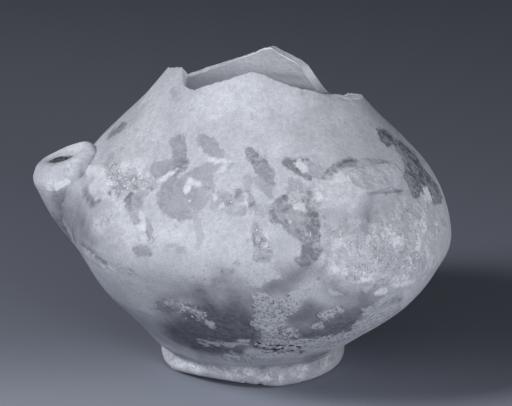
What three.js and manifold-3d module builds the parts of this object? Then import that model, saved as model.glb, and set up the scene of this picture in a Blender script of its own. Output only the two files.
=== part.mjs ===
// A spouted vessel of fired clay: a wheel-thrown pot on a ring foot, with a short spout that leans up beside
// the shoulder. The neck and the handle are lost, so the mouth is a broken edge and the handle is a stub.
// Millimetres, +Z up. The pot's own axis is vertical. The spout is on its -X side, and -Y is the front.
import * as THREE from "three";
import { mergeVertices } from "three/addons/utils/BufferGeometryUtils.js";
import Module from "manifold-3d";

const wasm = await Module();
wasm.setup();

// Driving sizes of the pot.
const footRadius = 30.6;
const footHeight = 7.4;
const bellyRadius = 63.2; // mean of the handle side and the spout side
const bellyHeight = 50; // the level where the two thrown halves meet
const neckRadius = 25.8; // where the lost neck began
const neckHeight = 101;
const rimWall = 3.2; // the wall at the broken mouth
const bellyWall = 3.8;
const baseWall = 4.6;
const baseSag = 1.2; // how far the base dips at its middle

// The foot ring.
const footRestWidth = 4.6; // the flat that stands on the table
const footTopWidth = 6.6; // the face that is luted to the base
const footEdge = 1.2; // the rounded lower edge
const footBulge = 0.25; // how far the outer face swells past footRadius
const wearDepth = 2.1; // the worn arch in the front of the foot

// The spout. Its lengths run down its axis from the face of the tip.
const spoutTipOffset = 10; // of the middle of the tip, out from the pot's wall
const spoutTipHeight = 21.9; // above the belly
const spoutTipRadius = 11.8;
const spoutSwell = 0.6; // how far its shaft swells past a plain taper
const spoutRootDepth = 10; // where its underside meets the wall, below the belly
const spoutLip = 5.2; // how far down the rounded rim of the tip runs
const spoutLipWidth = 3.8; // and how far in
const dishRadius = 7.2; // the shallow dish round the hole
const dishDepth = 1.7;
const boreRadius = 3.7;
const boreLength = 5; // as far as the wider cavity
const cavityRadius = 7.2;
const cavityFlare = 2; // how far down the bore takes to widen
const cavityLength = 25;
const wallHoleRadius = 4.4; // the hole through the pot's wall
const wallHoleDepth = 12.7; // down to its middle

// The clay that was wiped round the root of the spout.
const luteReach = 5.5;
const luteCrown = 1.4;
const luteDepth = 1.4; // how deep its section starts, before its seats are cut
const luteLipShare = 0.6; // how near it may come to the tip of the spout

// The stub of the handle, a broad strap, and the clay round it. The other heights stand on the wall.
const handleHeight = 21.2; // of its middle, above the belly
const stubHalfWidth = 11.2;
const stubHalfThickness = 4.6;
const stubHighSide = 4.2;
const stubLowSide = 1.6;
const padHalfWidth = 15;
const padHalfThickness = 6.8;
const padHeight = 2.2;
const padTopMargin = 1.4; // how far the pad's top stands out round the stub
const padShift = 2.2; // the pad is smeared towards the front

const gap = 0.3; // clearance between luted pieces
const overrun = 2; // how far a cutter passes what it cuts
const seatDepth = 6; // how deep a piece starts inside the wall, before its seat is cut

// Directions seen from above, in degrees, counted from +X towards +Y.
const handleSideAngle = 0;
const spoutAngle = 188;
const spoutHeading = 186; // the way the spout leans
const spoutLean = 62; // above the horizontal
const handleAngle = 314.5;
const wearFromAngle = 210;
const wearToAngle = 285;

const bodySegments = 64;
const footSegments = 72;
const spoutSegments = 36;
const luteSegments = 48;
const stubSegments = 28;
const samplesPerSpan = 2;
const spoutLipSteps = 4;
const shaftShares = [0.16, 0.34, 0.52, 0.7, 0.86, 1]; // the spout's rings, from its rim to its root

// The outline of the pot, as shares. Each row holds the height, the radius on the handle side and the radius
// on the spout side: the pot sags towards the handle, so the two sides differ.
// From the foot up to the belly: 0 is the top of the foot ring and 1 is the belly.
const lowerOutlineShares = [
  [0, 0, 0],
  [0.06, 0.128, 0.116],
  [0.178, 0.341, 0.226],
  [0.343, 0.631, 0.418],
  [0.507, 0.832, 0.616],
  [0.671, 0.966, 0.75],
  [0.836, 1.07, 0.857],
];
// From the belly up past the neck: 0 is the belly and 1 is where the neck began.
const upperOutlineShares = [
  [0, -0.045, 0.048],
  [0.157, 0.027, 0.067],
  [0.314, 0.152, 0.166],
  [0.471, 0.342, 0.326],
  [0.627, 0.556, 0.535],
  [0.804, 0.773, 0.781],
  [1, 0.995, 1.005],
  [1.1, 1.115, 1.115],
];

// The broken edge. Each row holds a direction in degrees, the height of the outer edge as a share of the way
// from the belly to the neck, and how far the inner edge stands above it as a share of the wall.
const breakShares = [
  [-174, 0.955, 0],
  [-165, 0.98, 0],
  [-155, 1.004, 0],
  [-149, 0.965, 0.1],
  [-142, 0.922, 0.3],
  [-137, 0.9, 0.4],
  [-130, 0.902, 0.3],
  [-126, 0.927, 0.1],
  [-122, 0.945, -0.2],
  [-114, 0.973, -0.5],
  [-107, 1.002, -0.6],
  [-99, 1.022, -0.7],
  [-92, 1.039, -0.7],
  [-85, 1.02, -0.7],
  [-76, 0.994, -0.7],
  [-64, 0.945, -0.6],
  [-54, 0.92, -0.4],
  [-47, 0.897, -0.1],
  [-43, 0.857, 0.4],
  [-34, 0.831, 0.5],
  [-27, 0.808, 0.5],
  [-12, 0.771, 0.5],
  [0, 0.761, 0.4],
  [14, 0.725, 0.2],
  [30, 0.676, 0],
  [44, 0.647, 0],
  [52, 0.657, 0],
  [56, 0.739, 0],
  [58.5, 0.89, 0],
  [64.5, 0.929, 0],
  [73.5, 0.957, 0],
  [78.5, 0.986, 0],
  [84.5, 0.973, 0],
  [93, 0.939, 0],
  [105, 0.884, 0],
  [114, 0.845, 0],
  [123, 0.812, 0],
  [131, 0.794, 0],
  [142, 0.804, 0],
  [152, 0.853, 0],
  [162, 0.912, 0],
  [173, 0.945, 0],
];

const radians = THREE.MathUtils.degToRad;
const mix = THREE.MathUtils.lerp;

// One side of the outline: column 1 is the handle side and column 2 the spout side.
function sideOutline(column) {
  const lower = lowerOutlineShares.map((row) => {
    const radius = mix(footRadius, bellyRadius, row[column]);
    return new THREE.Vector2(radius, mix(footHeight, bellyHeight, row[0]));
  });
  const upper = upperOutlineShares.map((row) => {
    const radius = mix(bellyRadius, neckRadius, row[column]);
    return new THREE.Vector2(radius, mix(bellyHeight, neckHeight, row[0]));
  });
  const points = [...lower, ...upper];
  return new THREE.SplineCurve(points).getPoints((points.length - 1) * samplesPerSpan);
}

const seamStep = lowerOutlineShares.length * samplesPerSpan;
const outerSides = [sideOutline(1), sideOutline(2)];

// The wall's thickness at a height: thick at the base and thinner towards the mouth.
function wallAt(height) {
  if (height < bellyHeight) {
    return mix(baseWall, bellyWall, (height - footHeight) / (bellyHeight - footHeight));
  }
  return mix(bellyWall, rimWall, (height - bellyHeight) / (neckHeight - bellyHeight));
}

// A side moved square to itself by depth(height), inwards where that is positive. At the seam it moves level,
// so that the two halves meet on one flat face.
function moved(side, depth) {
  return side.map((point, step) => {
    const before = side[Math.max(step - 1, 0)];
    const after = side[Math.min(step + 1, side.length - 1)];
    const along = new THREE.Vector2().subVectors(after, before).normalize();
    const inwards = step === seamStep ? new THREE.Vector2(-1, 0) : new THREE.Vector2(-along.y, along.x);
    return point.clone().addScaledVector(inwards, depth(point.y));
  });
}

const innerSides = outerSides.map((side) => moved(side, wallAt));

// A point at a radius from the pot's axis, at an angle and a height.
function polar(radius, angle, height) {
  return new THREE.Vector3(radius * Math.cos(angle), radius * Math.sin(angle), height);
}

// How far an angle is on the handle side: 1 there and 0 on the spout side.
function handleShare(angle) {
  return (1 + Math.cos(angle - radians(handleSideAngle))) / 2;
}

// The place of a point that lies between the handle side and the spout side of a pair of outlines.
function around(onHandleSide, onSpoutSide, angle) {
  const share = handleShare(angle);
  return polar(mix(onSpoutSide.x, onHandleSide.x, share), angle, mix(onSpoutSide.y, onHandleSide.y, share));
}

// The radius of one side of the outline at a height.
function sideRadius(side, height) {
  const above = side.findIndex((point, step) => step > 0 && point.y > height);
  const next = above < 0 ? side.length - 1 : above;
  const before = side[next - 1];
  const after = side[next];
  return mix(before.x, after.x, (height - before.y) / (after.y - before.y));
}

// The radius of a pair of outlines at a height and an angle.
function radiusAt(sides, height, angle) {
  return mix(sideRadius(sides[1], height), sideRadius(sides[0], height), handleShare(angle));
}

function evenAngles(count) {
  return Array.from({ length: count }, (_, i) => (2 * Math.PI * i) / count);
}

// A lathed solid whose points are then placed one by one: pointAt(step, angle) gives profile point number
// step at that angle. The profile starts and ends on the axis, or its last point repeats its first.
function turned(steps, angles, pointAt) {
  const profile = Array.from({ length: steps }, (_, step) => new THREE.Vector2(1, step));
  const geometry = new THREE.LatheGeometry(profile, angles.length);
  const position = geometry.getAttribute("position");
  for (let i = 0; i <= angles.length; i += 1) {
    for (let step = 0; step < steps; step += 1) {
      const place = pointAt(step, angles[i % angles.length]);
      position.setXYZ(i * steps + step, place.x, place.y, place.z);
    }
  }
  return geometry;
}

// A closed geometry as a solid for cutting and joining.
function solid(geometry) {
  const bare = new THREE.BufferGeometry()
    .setAttribute("position", geometry.getAttribute("position"))
    .setIndex(geometry.index);
  const merged = mergeVertices(bare);
  const kept = [];
  for (let i = 0; i < merged.index.count; i += 3) {
    const [a, b, c] = [0, 1, 2].map((corner) => merged.index.getX(i + corner));
    if (a !== b && b !== c && c !== a) {
      kept.push(a, b, c);
    }
  }
  return new wasm.Manifold(
    new wasm.Mesh({
      numProp: 3,
      vertProperties: merged.getAttribute("position").array,
      triVerts: new Uint32Array(kept),
    }),
  );
}

// A solid as a named mesh.
function piece(name, made, material) {
  const result = made.getMesh();
  const geometry = new THREE.BufferGeometry()
    .setAttribute("position", new THREE.BufferAttribute(result.vertProperties, 3))
    .setIndex(new THREE.BufferAttribute(result.triVerts, 1));
  geometry.computeVertexNormals();
  const mesh = new THREE.Mesh(geometry, material);
  mesh.name = name;
  return mesh;
}

// A full pot shape with no hollow, grown by clearance: it cuts the seats of the pieces on the wall.
function potBlank(clearance) {
  const sides = outerSides.map((side) => moved(side, () => -clearance));
  const last = sides[0].length;
  return solid(
    turned(last + 2, evenAngles(bodySegments), (step, angle) => {
      const onSide = Math.min(Math.max(step - 1, 0), last - 1);
      const place = around(sides[0][onSide], sides[1][onSide], angle);
      return step === 0 || step > last ? new THREE.Vector3(0, 0, place.z) : place;
    }),
  );
}

// The lower half: base, floor and bowl, up to the flat face at the belly.
function lowerBody() {
  const seatRadius = footRadius - footTopWidth;
  const outer = outerSides.map((side) => side.slice(0, seamStep + 1));
  const inner = innerSides.map((side) => side.slice(0, seamStep + 1).reverse());
  const profiles = [0, 1].map((side) => [
    new THREE.Vector2(0, footHeight - baseSag),
    new THREE.Vector2(seatRadius / 2, footHeight - baseSag * 0.75),
    new THREE.Vector2(seatRadius, footHeight),
    ...outer[side],
    ...inner[side],
    new THREE.Vector2(0, footHeight - baseSag + baseWall),
  ]);
  const made = turned(profiles[0].length, evenAngles(bodySegments), (step, angle) =>
    around(profiles[0][step], profiles[1][step], angle),
  );
  return solid(made);
}

// The upper half before it broke: from the flat face at the belly to past the neck.
function upperBlank() {
  const profiles = [0, 1].map((side) => [
    ...outerSides[side].slice(seamStep),
    ...innerSides[side].slice(seamStep).reverse(),
    outerSides[side][seamStep],
  ]);
  const made = turned(profiles[0].length, evenAngles(bodySegments), (step, angle) =>
    around(profiles[0][step], profiles[1][step], angle),
  );
  return solid(made);
}

// All that is lost above the broken edge. Each ray of it is straight through the wall.
function lostTop() {
  const top = neckHeight + (neckHeight - bellyHeight) / 2;
  const rays = new Map(
    breakShares.map(([degrees, heightShare, riseShare]) => {
      const angle = radians(degrees);
      const height = mix(bellyHeight, neckHeight, heightShare);
      const outer = new THREE.Vector2(radiusAt(outerSides, height, angle), height);
      const innerHeight = height + riseShare * wallAt(height);
      const inner = new THREE.Vector2(radiusAt(innerSides, innerHeight, angle), innerHeight);
      const through = new THREE.Vector2().subVectors(outer, inner).normalize();
      return [
        angle,
        [
          new THREE.Vector2(0, bellyHeight + (neckHeight - bellyHeight) / 2),
          inner.clone().addScaledVector(through, -overrun),
          outer.clone().addScaledVector(through, overrun),
          new THREE.Vector2(outer.x + overrun, top),
          new THREE.Vector2(0, top),
        ],
      ];
    }),
  );
  const made = turned(5, [...rays.keys()], (step, angle) => {
    const { x: radius, y: height } = rays.get(angle)[step];
    return polar(radius, angle, height);
  });
  return solid(made);
}

// The spout's own frame: the middle of its tip, and the way that it leans.
const spoutTipLevel = bellyHeight + spoutTipHeight;
const wallAtTip = radiusAt(outerSides, spoutTipLevel, radians(spoutAngle));
const spoutTip = polar(wallAtTip + spoutTipOffset, radians(spoutAngle), spoutTipLevel);
const spoutAxis = polar(Math.cos(radians(spoutLean)), radians(spoutHeading), Math.sin(radians(spoutLean)));
const spoutTurn = new THREE.Quaternion().setFromUnitVectors(new THREE.Vector3(0, 0, 1), spoutAxis);
const spoutFrame = new THREE.Matrix4().compose(spoutTip, spoutTurn, new THREE.Vector3(1, 1, 1));

// Where the spout's underside meets the wall: how far down its axis that is, and how far from its axis.
const underside = polar(
  radiusAt(outerSides, bellyHeight - spoutRootDepth, radians(spoutAngle)),
  radians(spoutAngle),
  bellyHeight - spoutRootDepth,
).sub(spoutTip);
const spoutRootDown = -underside.dot(spoutAxis);
const spoutRootRadius = underside.cross(spoutAxis).length();
const spoutEndDown = spoutRootDown + seatDepth;

// The outside of the spout at a distance down its axis from the tip. Past its root it draws in.
function spoutRadiusAt(down) {
  if (down < spoutLip) {
    const share = 1 - Math.max(down, 0) / spoutLip;
    return spoutTipRadius - spoutLipWidth + spoutLipWidth * Math.sqrt(1 - share * share);
  }
  if (down > spoutRootDown) {
    return spoutRootRadius - (down - spoutRootDown) / 2;
  }
  const share = (down - spoutLip) / (spoutRootDown - spoutLip);
  return mix(spoutTipRadius, spoutRootRadius, share * share) + spoutSwell * Math.sin(Math.PI * share);
}

// A round solid on the spout's axis, from a profile of radii and heights above the face of the tip.
function onSpoutAxis(profile) {
  const made = new THREE.LatheGeometry(profile, spoutSegments);
  made.rotateX(Math.PI / 2);
  return solid(made.applyMatrix4(spoutFrame));
}

// The spout with no bore, grown by clearance.
function spoutBlank(clearance) {
  const levels = [0];
  for (let i = 1; i <= spoutLipSteps; i += 1) {
    levels.push(spoutLip * (1 - Math.cos((Math.PI * i) / (2 * spoutLipSteps))));
  }
  levels.push(...shaftShares.map((share) => mix(spoutLip, spoutRootDown, share)), spoutEndDown);
  const side = levels.map((down) => new THREE.Vector2(spoutRadiusAt(down) + clearance, -down)).reverse();
  side[side.length - 1].y += clearance;
  return onSpoutAxis([new THREE.Vector2(0, -spoutEndDown), ...side, new THREE.Vector2(0, clearance)]);
}

// The hollow of the spout: a cavity at its root that narrows to the bore, with the dish round its mouth.
function spoutHollow() {
  return onSpoutAxis([
    new THREE.Vector2(0, -cavityLength),
    new THREE.Vector2(boreRadius, -cavityLength),
    new THREE.Vector2(cavityRadius, -cavityLength + cavityFlare),
    new THREE.Vector2(cavityRadius, -boreLength - cavityFlare),
    new THREE.Vector2(boreRadius, -boreLength),
    new THREE.Vector2(boreRadius, -dishDepth),
    new THREE.Vector2(dishRadius, 0),
    new THREE.Vector2(dishRadius, overrun),
    new THREE.Vector2(0, overrun),
  ]);
}

// How far a point lies outside the pot's wall, measured level.
function outsideWall(point) {
  return Math.hypot(point.x, point.y) - radiusAt(outerSides, point.z, Math.atan2(point.y, point.x));
}

// Square to the pot's wall, pointing out. It is measured over one wall's thickness.
function wallNormal(height, angle) {
  const below = radiusAt(outerSides, height - bellyWall / 2, angle);
  const above = radiusAt(outerSides, height + bellyWall / 2, angle);
  return polar(1, angle, (below - above) / bellyWall).normalize();
}

// A frame that stands on the pot's wall: level along the wall, up the wall, and out of it.
function wallFrame(height, angle) {
  const out = wallNormal(height, angle);
  const level = new THREE.Vector3(-Math.sin(angle), Math.cos(angle), 0);
  const upWall = new THREE.Vector3().crossVectors(out, level);
  return new THREE.Matrix4()
    .makeBasis(level, upWall, out)
    .setPosition(polar(radiusAt(outerSides, height, angle), angle, height));
}

// The round hole through the pot's wall, under the spout.
function wallHole() {
  const depth = 2 * (bellyWall + overrun);
  const made = new THREE.CylinderGeometry(wallHoleRadius, wallHoleRadius, depth, spoutSegments);
  made.rotateX(Math.PI / 2);
  const height = spoutTipLevel - wallHoleDepth * Math.sin(radians(spoutLean));
  return solid(made.applyMatrix4(wallFrame(height, radians(spoutAngle))));
}

// Where a line down the side of the spout, at an angle round its axis, runs into the wall.
function spoutRoot(angle) {
  const aside = new THREE.Vector3(Math.cos(angle), Math.sin(angle), 0).applyQuaternion(spoutTurn);
  const at = (down) =>
    spoutTip.clone().addScaledVector(spoutAxis, -down).addScaledVector(aside, spoutRadiusAt(down));
  let high = 0;
  let low = spoutEndDown;
  while (low - high > gap / 10) {
    const middle = (high + low) / 2;
    if (outsideWall(at(middle)) > 0) {
      high = middle;
    } else {
      low = middle;
    }
  }
  return { point: at(high), down: high, aside };
}

// A point moved level until it stands in the wall, luteDepth / 2 deep.
function intoWall(point) {
  const angle = Math.atan2(point.y, point.x);
  return polar(radiusAt(outerSides, point.z, angle) - luteDepth / 2, angle, point.z);
}

// The clay wiped round the root of the spout: a ring with a crowned section.
function spoutLuting() {
  const angles = evenAngles(luteSegments);
  const roots = angles.map(spoutRoot);
  const sections = new Map(
    angles.map((angle, i) => {
      const { point, down, aside } = roots[i];
      const out = wallNormal(point.z, Math.atan2(point.y, point.x));
      const next = roots[(i + 1) % luteSegments].point;
      const along = new THREE.Vector3().subVectors(next, roots.at(i - 1).point);
      const away = along.cross(out).normalize();
      const reach = Math.min(luteReach, down * luteLipShare);
      const onWall = intoWall(point.clone().addScaledVector(away, reach));
      const onSpout = point.clone().addScaledVector(spoutAxis, reach).addScaledVector(aside, -luteDepth / 2);
      const outwards = new THREE.Vector3().addVectors(out, aside).normalize();
      const deep = point.clone().addScaledVector(outwards, -luteDepth);
      const crown = onWall.clone().add(onSpout).divideScalar(2).addScaledVector(outwards, luteCrown);
      return [angle, [deep, onWall, crown, onSpout, deep]];
    }),
  );
  return solid(turned(5, angles, (step, angle) => sections.get(angle)[step]));
}

// An oval plug that stands out of the wall. Its top is level with highSide at its lower edge and with lowSide
// at its upper edge.
function ovalPlug({ footWidth, footThickness, topWidth, topThickness, highSide, lowSide, shift = 0 }) {
  const rings = [
    [0, 0, -seatDepth],
    [footWidth, footThickness, -seatDepth],
    [footWidth, footThickness, 0],
    [topWidth, topThickness],
    [0, 0],
  ];
  const made = turned(rings.length, evenAngles(stubSegments), (step, angle) => {
    const [halfWidth, halfThickness, level] = rings[step];
    const x = halfWidth * Math.cos(angle);
    const y = halfThickness * Math.sin(angle);
    if (level === undefined) {
      return new THREE.Vector3(x, y, mix(highSide, lowSide, (y / topThickness + 1) / 2));
    }
    return new THREE.Vector3(x + shift, y, level);
  });
  return solid(made.applyMatrix4(wallFrame(bellyHeight + handleHeight, radians(handleAngle))));
}

function handleStub(clearance) {
  return ovalPlug({
    footWidth: stubHalfWidth + clearance,
    footThickness: stubHalfThickness + clearance,
    topWidth: stubHalfWidth + clearance,
    topThickness: stubHalfThickness + clearance,
    highSide: stubHighSide + clearance,
    lowSide: stubLowSide + clearance,
  });
}

function handlePad() {
  return ovalPlug({
    footWidth: padHalfWidth,
    footThickness: padHalfThickness,
    topWidth: stubHalfWidth + padTopMargin,
    topThickness: stubHalfThickness + padTopMargin,
    highSide: padHeight,
    lowSide: padHeight / 2,
    shift: -padShift,
  });
}

// The foot ring, with the worn arch in its front.
function footRing() {
  const outer = footRadius + footBulge;
  const profile = [
    new THREE.Vector2(footRadius - footEdge - footRestWidth, 0),
    new THREE.Vector2(footRadius - footEdge, 0),
    new THREE.Vector2(footRadius - footEdge / 4, footEdge / 2),
    new THREE.Vector2(outer, footEdge * 1.6),
    new THREE.Vector2(outer, footHeight / 2),
    new THREE.Vector2(footRadius, footHeight - footEdge / 2),
    new THREE.Vector2(footRadius - footBulge, footHeight),
    new THREE.Vector2(footRadius - footTopWidth, footHeight),
    new THREE.Vector2(footRadius - footEdge - footRestWidth, footEdge),
    new THREE.Vector2(footRadius - footEdge - footRestWidth, 0),
  ];
  const made = turned(profile.length, evenAngles(footSegments), (step, angle) => {
    const { x: radius, y: height } = profile[step];
    const from = radians(wearFromAngle);
    const share = (angle - from) / (radians(wearToAngle) - from);
    const wear = share > 0 && share < 1 ? wearDepth * Math.sin(Math.PI * share) : 0;
    return polar(radius, angle, height + wear * (1 - height / footHeight));
  });
  return solid(made);
}

const slip = new THREE.MeshStandardMaterial({ color: 0xb9bcc4, roughness: 0.85, metalness: 0 });
const bareClay = new THREE.MeshStandardMaterial({ color: 0x9a9da5, roughness: 0.95, metalness: 0 });
const brokenClay = new THREE.MeshStandardMaterial({ color: 0xa9abb0, roughness: 1, metalness: 0 });

const pot = potBlank(gap);

const vessel = new THREE.Group();
vessel.name = "spouted_vessel";
vessel.add(
  piece("foot_ring", footRing(), bareClay),
  piece("lower_body", lowerBody(), slip),
  piece("upper_body", upperBlank().subtract(lostTop()).subtract(wallHole()), slip),
  piece("spout", spoutBlank(0).subtract(pot).subtract(spoutHollow()), slip),
  piece("spout_luting", spoutLuting().subtract(pot).subtract(spoutBlank(gap)), slip),
  piece("handle_stub", handleStub(0).subtract(pot), brokenClay),
  piece("handle_luting", handlePad().subtract(pot).subtract(handleStub(gap)), slip),
);

// The origin is the middle of the whole vessel seen from above, on the table.
const middle = new THREE.Box3().setFromObject(vessel).getCenter(new THREE.Vector3());
vessel.position.set(-middle.x, -middle.y, 0);

export default vessel;
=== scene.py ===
import math

import bmesh
import bpy
import numpy as np
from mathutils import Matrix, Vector, noise
from mathutils.bvhtree import BVHTree


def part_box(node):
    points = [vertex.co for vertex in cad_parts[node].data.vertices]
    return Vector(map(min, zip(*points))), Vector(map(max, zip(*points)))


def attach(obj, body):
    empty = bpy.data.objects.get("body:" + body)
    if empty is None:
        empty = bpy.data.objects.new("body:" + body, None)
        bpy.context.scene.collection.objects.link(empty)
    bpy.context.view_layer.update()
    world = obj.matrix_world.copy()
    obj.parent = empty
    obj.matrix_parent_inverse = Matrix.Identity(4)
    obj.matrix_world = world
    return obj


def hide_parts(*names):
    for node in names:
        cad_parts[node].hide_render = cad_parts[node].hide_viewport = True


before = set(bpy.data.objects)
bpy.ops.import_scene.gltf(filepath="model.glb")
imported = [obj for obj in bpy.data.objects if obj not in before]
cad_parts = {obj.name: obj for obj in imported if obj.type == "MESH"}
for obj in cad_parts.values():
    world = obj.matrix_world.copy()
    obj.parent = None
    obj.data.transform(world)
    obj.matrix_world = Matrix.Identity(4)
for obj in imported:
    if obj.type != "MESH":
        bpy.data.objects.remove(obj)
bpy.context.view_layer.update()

body = "vessel"
mm = 0.001
weld = 0.004                       # mm: vertices this near are joined

# the pot's own axis stands on the middle of the foot ring
footLow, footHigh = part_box("foot_ring")
axisX = (footLow.x + footHigh.x) / 2 / mm
print("frame loaded, pot axis at x =", round(axisX, 3), "mm")

# camera

photo = {
    "width": 512, "height": 406,   # pixels of the photograph
    "lens": 128.07, "sensor": 36.0,
    "clip": (0.05, 20),            # m
    "rise": 17.0,                  # degrees above the horizon
    "distance": 601.1,             # mm from the target
    "target": (3.72, 0.0, 53.48),
    "nearer": 4,                   # mm before the target, where a ray that misses ends
}


def placeCamera():
    rise = math.radians(photo["rise"])
    back = Vector((0, -math.cos(rise), math.sin(rise)))
    cam = bpy.data.objects.new("camera", bpy.data.cameras.new("camera"))
    cam.data.lens = photo["lens"]
    cam.data.sensor_width = photo["sensor"]
    cam.data.clip_start, cam.data.clip_end = photo["clip"]
    cam.location = (Vector(photo["target"]) + back * photo["distance"]) * mm
    cam.rotation_euler = (math.pi / 2 - rise, 0, 0)
    bpy.context.scene.collection.objects.link(cam)
    bpy.context.scene.camera = cam
    bpy.context.view_layer.update()
    return cam


camera = placeCamera()


# all modelling is in mm round the pot's axis, and is scaled down when a piece is finished

def solidsTree():
    points, faces = [], []
    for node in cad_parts.values():
        start = len(points)
        points += [(v.co.x / mm - axisX, v.co.y / mm, v.co.z / mm) for v in node.data.vertices]
        faces += [[start + i for i in face.vertices] for face in node.data.polygons]
    return BVHTree.FromPolygons(points, faces)


solids = solidsTree()
eye = Vector((camera.location.x / mm - axisX, camera.location.y / mm, camera.location.z / mm))
turn = camera.matrix_world.to_3x3()
focus = photo["lens"] / photo["sensor"] * photo["width"]   # in pixels


# the place on the solids that the photograph shows at a pixel, and the size of a pixel there
def onPhoto(x, y):
    ray = turn @ Vector((x - photo["width"] / 2, photo["height"] / 2 - y, -focus)).normalized()
    hit = solids.ray_cast(eye, ray)[0]
    if hit is None:                # just outside the outline: the nearest place
        hit = solids.find_nearest(eye + ray * (photo["distance"] - photo["nearer"]))[0]
    return hit, (hit - eye).length / focus


# pot

pot = {
    # height, radius on the handle side, radius on the spout side
    "outline": [
        (5.2, 30.2, 30.2), (6.3, 30.55, 30.55), (7.1, 30.95, 30.95), (7.9, 31.7, 31.65),
        (8.8, 33.0, 32.8), (10.0, 34.8, 34.4), (15.0, 41.7, 38.0), (22.0, 51.2, 44.2),
        (29.0, 57.7, 50.7), (36.0, 62.1, 55.1), (43.0, 65.5, 58.5), (50.0, 64.9, 61.4),
        (58.0, 62.2, 60.7), (66.0, 57.5, 57.0), (74.0, 50.4, 51.0), (82.0, 42.4, 43.2),
        (91.0, 34.3, 34.0), (101.0, 26.0, 25.6), (106.0, 21.5, 21.5),
    ],
    "seam": 50.0,
    "wall": [(7.4, 4.6), (50.0, 3.8), (101.0, 3.2)],   # height and thickness
    "wallFrom": 9.2,               # height where the inner wall starts
    "floor": [(30.6, 13.1), (29.2, 12.3), (27.0, 11.7), (22.0, 11.2), (12.0, 10.9), (0.0, 10.8)],
    "overFloor": 0.8,
    "under": [
        (0.0, 6.2), (6.0, 6.25), (12.0, 6.5), (18.0, 6.8), (23.6, 7.2), (24.6, 6.9), (29.2, 6.3), (29.9, 5.6),
    ],
    "underBare": 0.8,
    "spokes": 640,
    "slopeStep": 0.6,              # mm above and below a place, for the slope of the wall there
    "poles": (0.01, 0.02),         # mm: vertices this near the axis, and how near they are joined
    "peak": 103,                   # how high the rows of the upper half are spaced
    "upperRows": 76, "lowerRows": 80, "upperInside": 38, "lowerInside": 32,
    # rows at the broken edge, as shares of the way up, across and down
    "toBreak": [0.992, 1.0],
    "acrossBreak": [0.05, 0.16, 0.32, 0.5, 0.68, 0.84, 0.95, 1.0],
    "fromBreak": [0.012, 0.03], "insideFrom": 0.06,
    # bumps: height and size in mm, layers of detail, and the shift of the pattern
    "uneven": [(0.26, 26.0, 2, 0.0), (0.07, 7.0, 2, 4.0)],
    "outerChips": [(0.28, 2.2, 4, 1.0)],
    "innerChips": [(0.28, 3.0, 3, 6.0)],
    "fracture": [(0.38, 3.4, 3, 8.0), (0.16, 0.9, 2, 8.0)],
    "chipRing": 30.0,              # radius on which the chips' pattern is read
    "groove": (0.22, 5.2),         # throwing rings inside: depth and spacing
    "grooveFade": 3.5,
    "swirl": (0.25, 1.1, 6),       # rings on the floor: depth, turns per mm and radius of the fade
}

# direction in degrees, height of the outer edge, how far the inner edge stands above it
brokenEdge = [
    (-176, 99.4, -0.8), (-163.4, 100.8, -1.2), (-154, 101.9, -2.5), (-149, 100.8, -3.5), (-143, 98.9, -3.0),
    (-139.6, 97.6, -2.2), (-134.4, 97.2, -1.7), (-128.7, 97.2, -1.5), (-122.3, 98.6, -1.6),
    (-115.2, 99.8, -1.8), (-107.9, 100.7, -2.0), (-101.2, 102.1, -2.2), (-92.1, 103.2, -2.2),
    (-88.3, 103.3, -2.2), (-81, 102.4, -2.2), (-72.7, 100.6, -2.2), (-63, 98.9, -2.0), (-49.7, 96.9, -1.4),
    (-40.2, 94.6, -0.3), (-37.4, 93.5, 0.4), (-19.4, 91.0, 1.2), (-6.9, 89.7, 1.2), (8.8, 88.8, 0.6),
    (22, 87.0, 0.2), (30, 85.3, 0), (40.9, 83.5, 0), (51.0, 83.2, 0.2), (52.2, 85.5, 0.5),
    (52.9, 88.5, 1.0), (53.4, 91.5, 1.0), (54.0, 94.1, 1.0), (57.4, 96.1, 0.3), (62.7, 97.6, 0.2),
    (68.3, 99.2, 0.2), (73.2, 100.8, 0.3), (81.1, 100.2, 0.5), (92.1, 97.6, 0.7), (111.4, 94.1, 0.7),
    (130, 91.1, 0.7), (142, 91.0, 0.4), (152, 93.5, 0), (162, 96.5, 0), (173, 98.6, -0.4),
]


# a smooth curve through the rows of a table
def throughRows(rows, perSpan=24):
    rows = np.array(rows, float)
    ends = np.vstack([rows[:1], rows, rows[-1:]])
    share = np.linspace(0, 1, perSpan, endpoint=False)[:, None]
    parts = []
    for before, start, end, after in zip(ends, ends[1:], ends[2:], ends[3:]):
        leave, arrive = (end - before) / 2, (after - start) / 2
        parts.append(start + leave * share + (3 * (end - start) - 2 * leave - arrive) * share ** 2
                     + (2 * (start - end) + leave + arrive) * share ** 3)
    return np.vstack(parts + [rows[-1:]])


outline = throughRows(pot["outline"])
wallHeights, wallSizes = np.array(pot["wall"]).T


def innerSide(column):
    height, radius = outline[:, 0], outline[:, column]
    along = np.hypot(np.gradient(radius), np.gradient(height))
    wall = np.interp(height, wallHeights, wallSizes)
    inner = np.stack([height + wall * np.gradient(radius) / along,
                      radius - wall * np.gradient(height) / along])
    return inner[:, height > pot["wallFrom"]]


innerSides = [innerSide(1), innerSide(2)]


def wallRadius(angle, height):
    share = (1 + np.cos(angle)) / 2
    return (np.interp(height, outline[:, 0], outline[:, 1]) * share
            + np.interp(height, outline[:, 0], outline[:, 2]) * (1 - share))


def innerRadius(angle, height):
    share = (1 + np.cos(angle)) / 2
    return np.interp(height, *innerSides[0]) * share + np.interp(height, *innerSides[1]) * (1 - share)


def polar(radius, angle, height):
    return np.stack([radius * np.cos(angle), radius * np.sin(angle), height + 0 * radius], axis=-1)


def wallNormal(angle, height):
    step = pot["slopeStep"]
    slope = (wallRadius(angle, height + step) - wallRadius(angle, height - step)) / (2 * step)
    size = np.hypot(1, slope)
    return polar(1 / size, angle, -slope / size)


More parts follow.
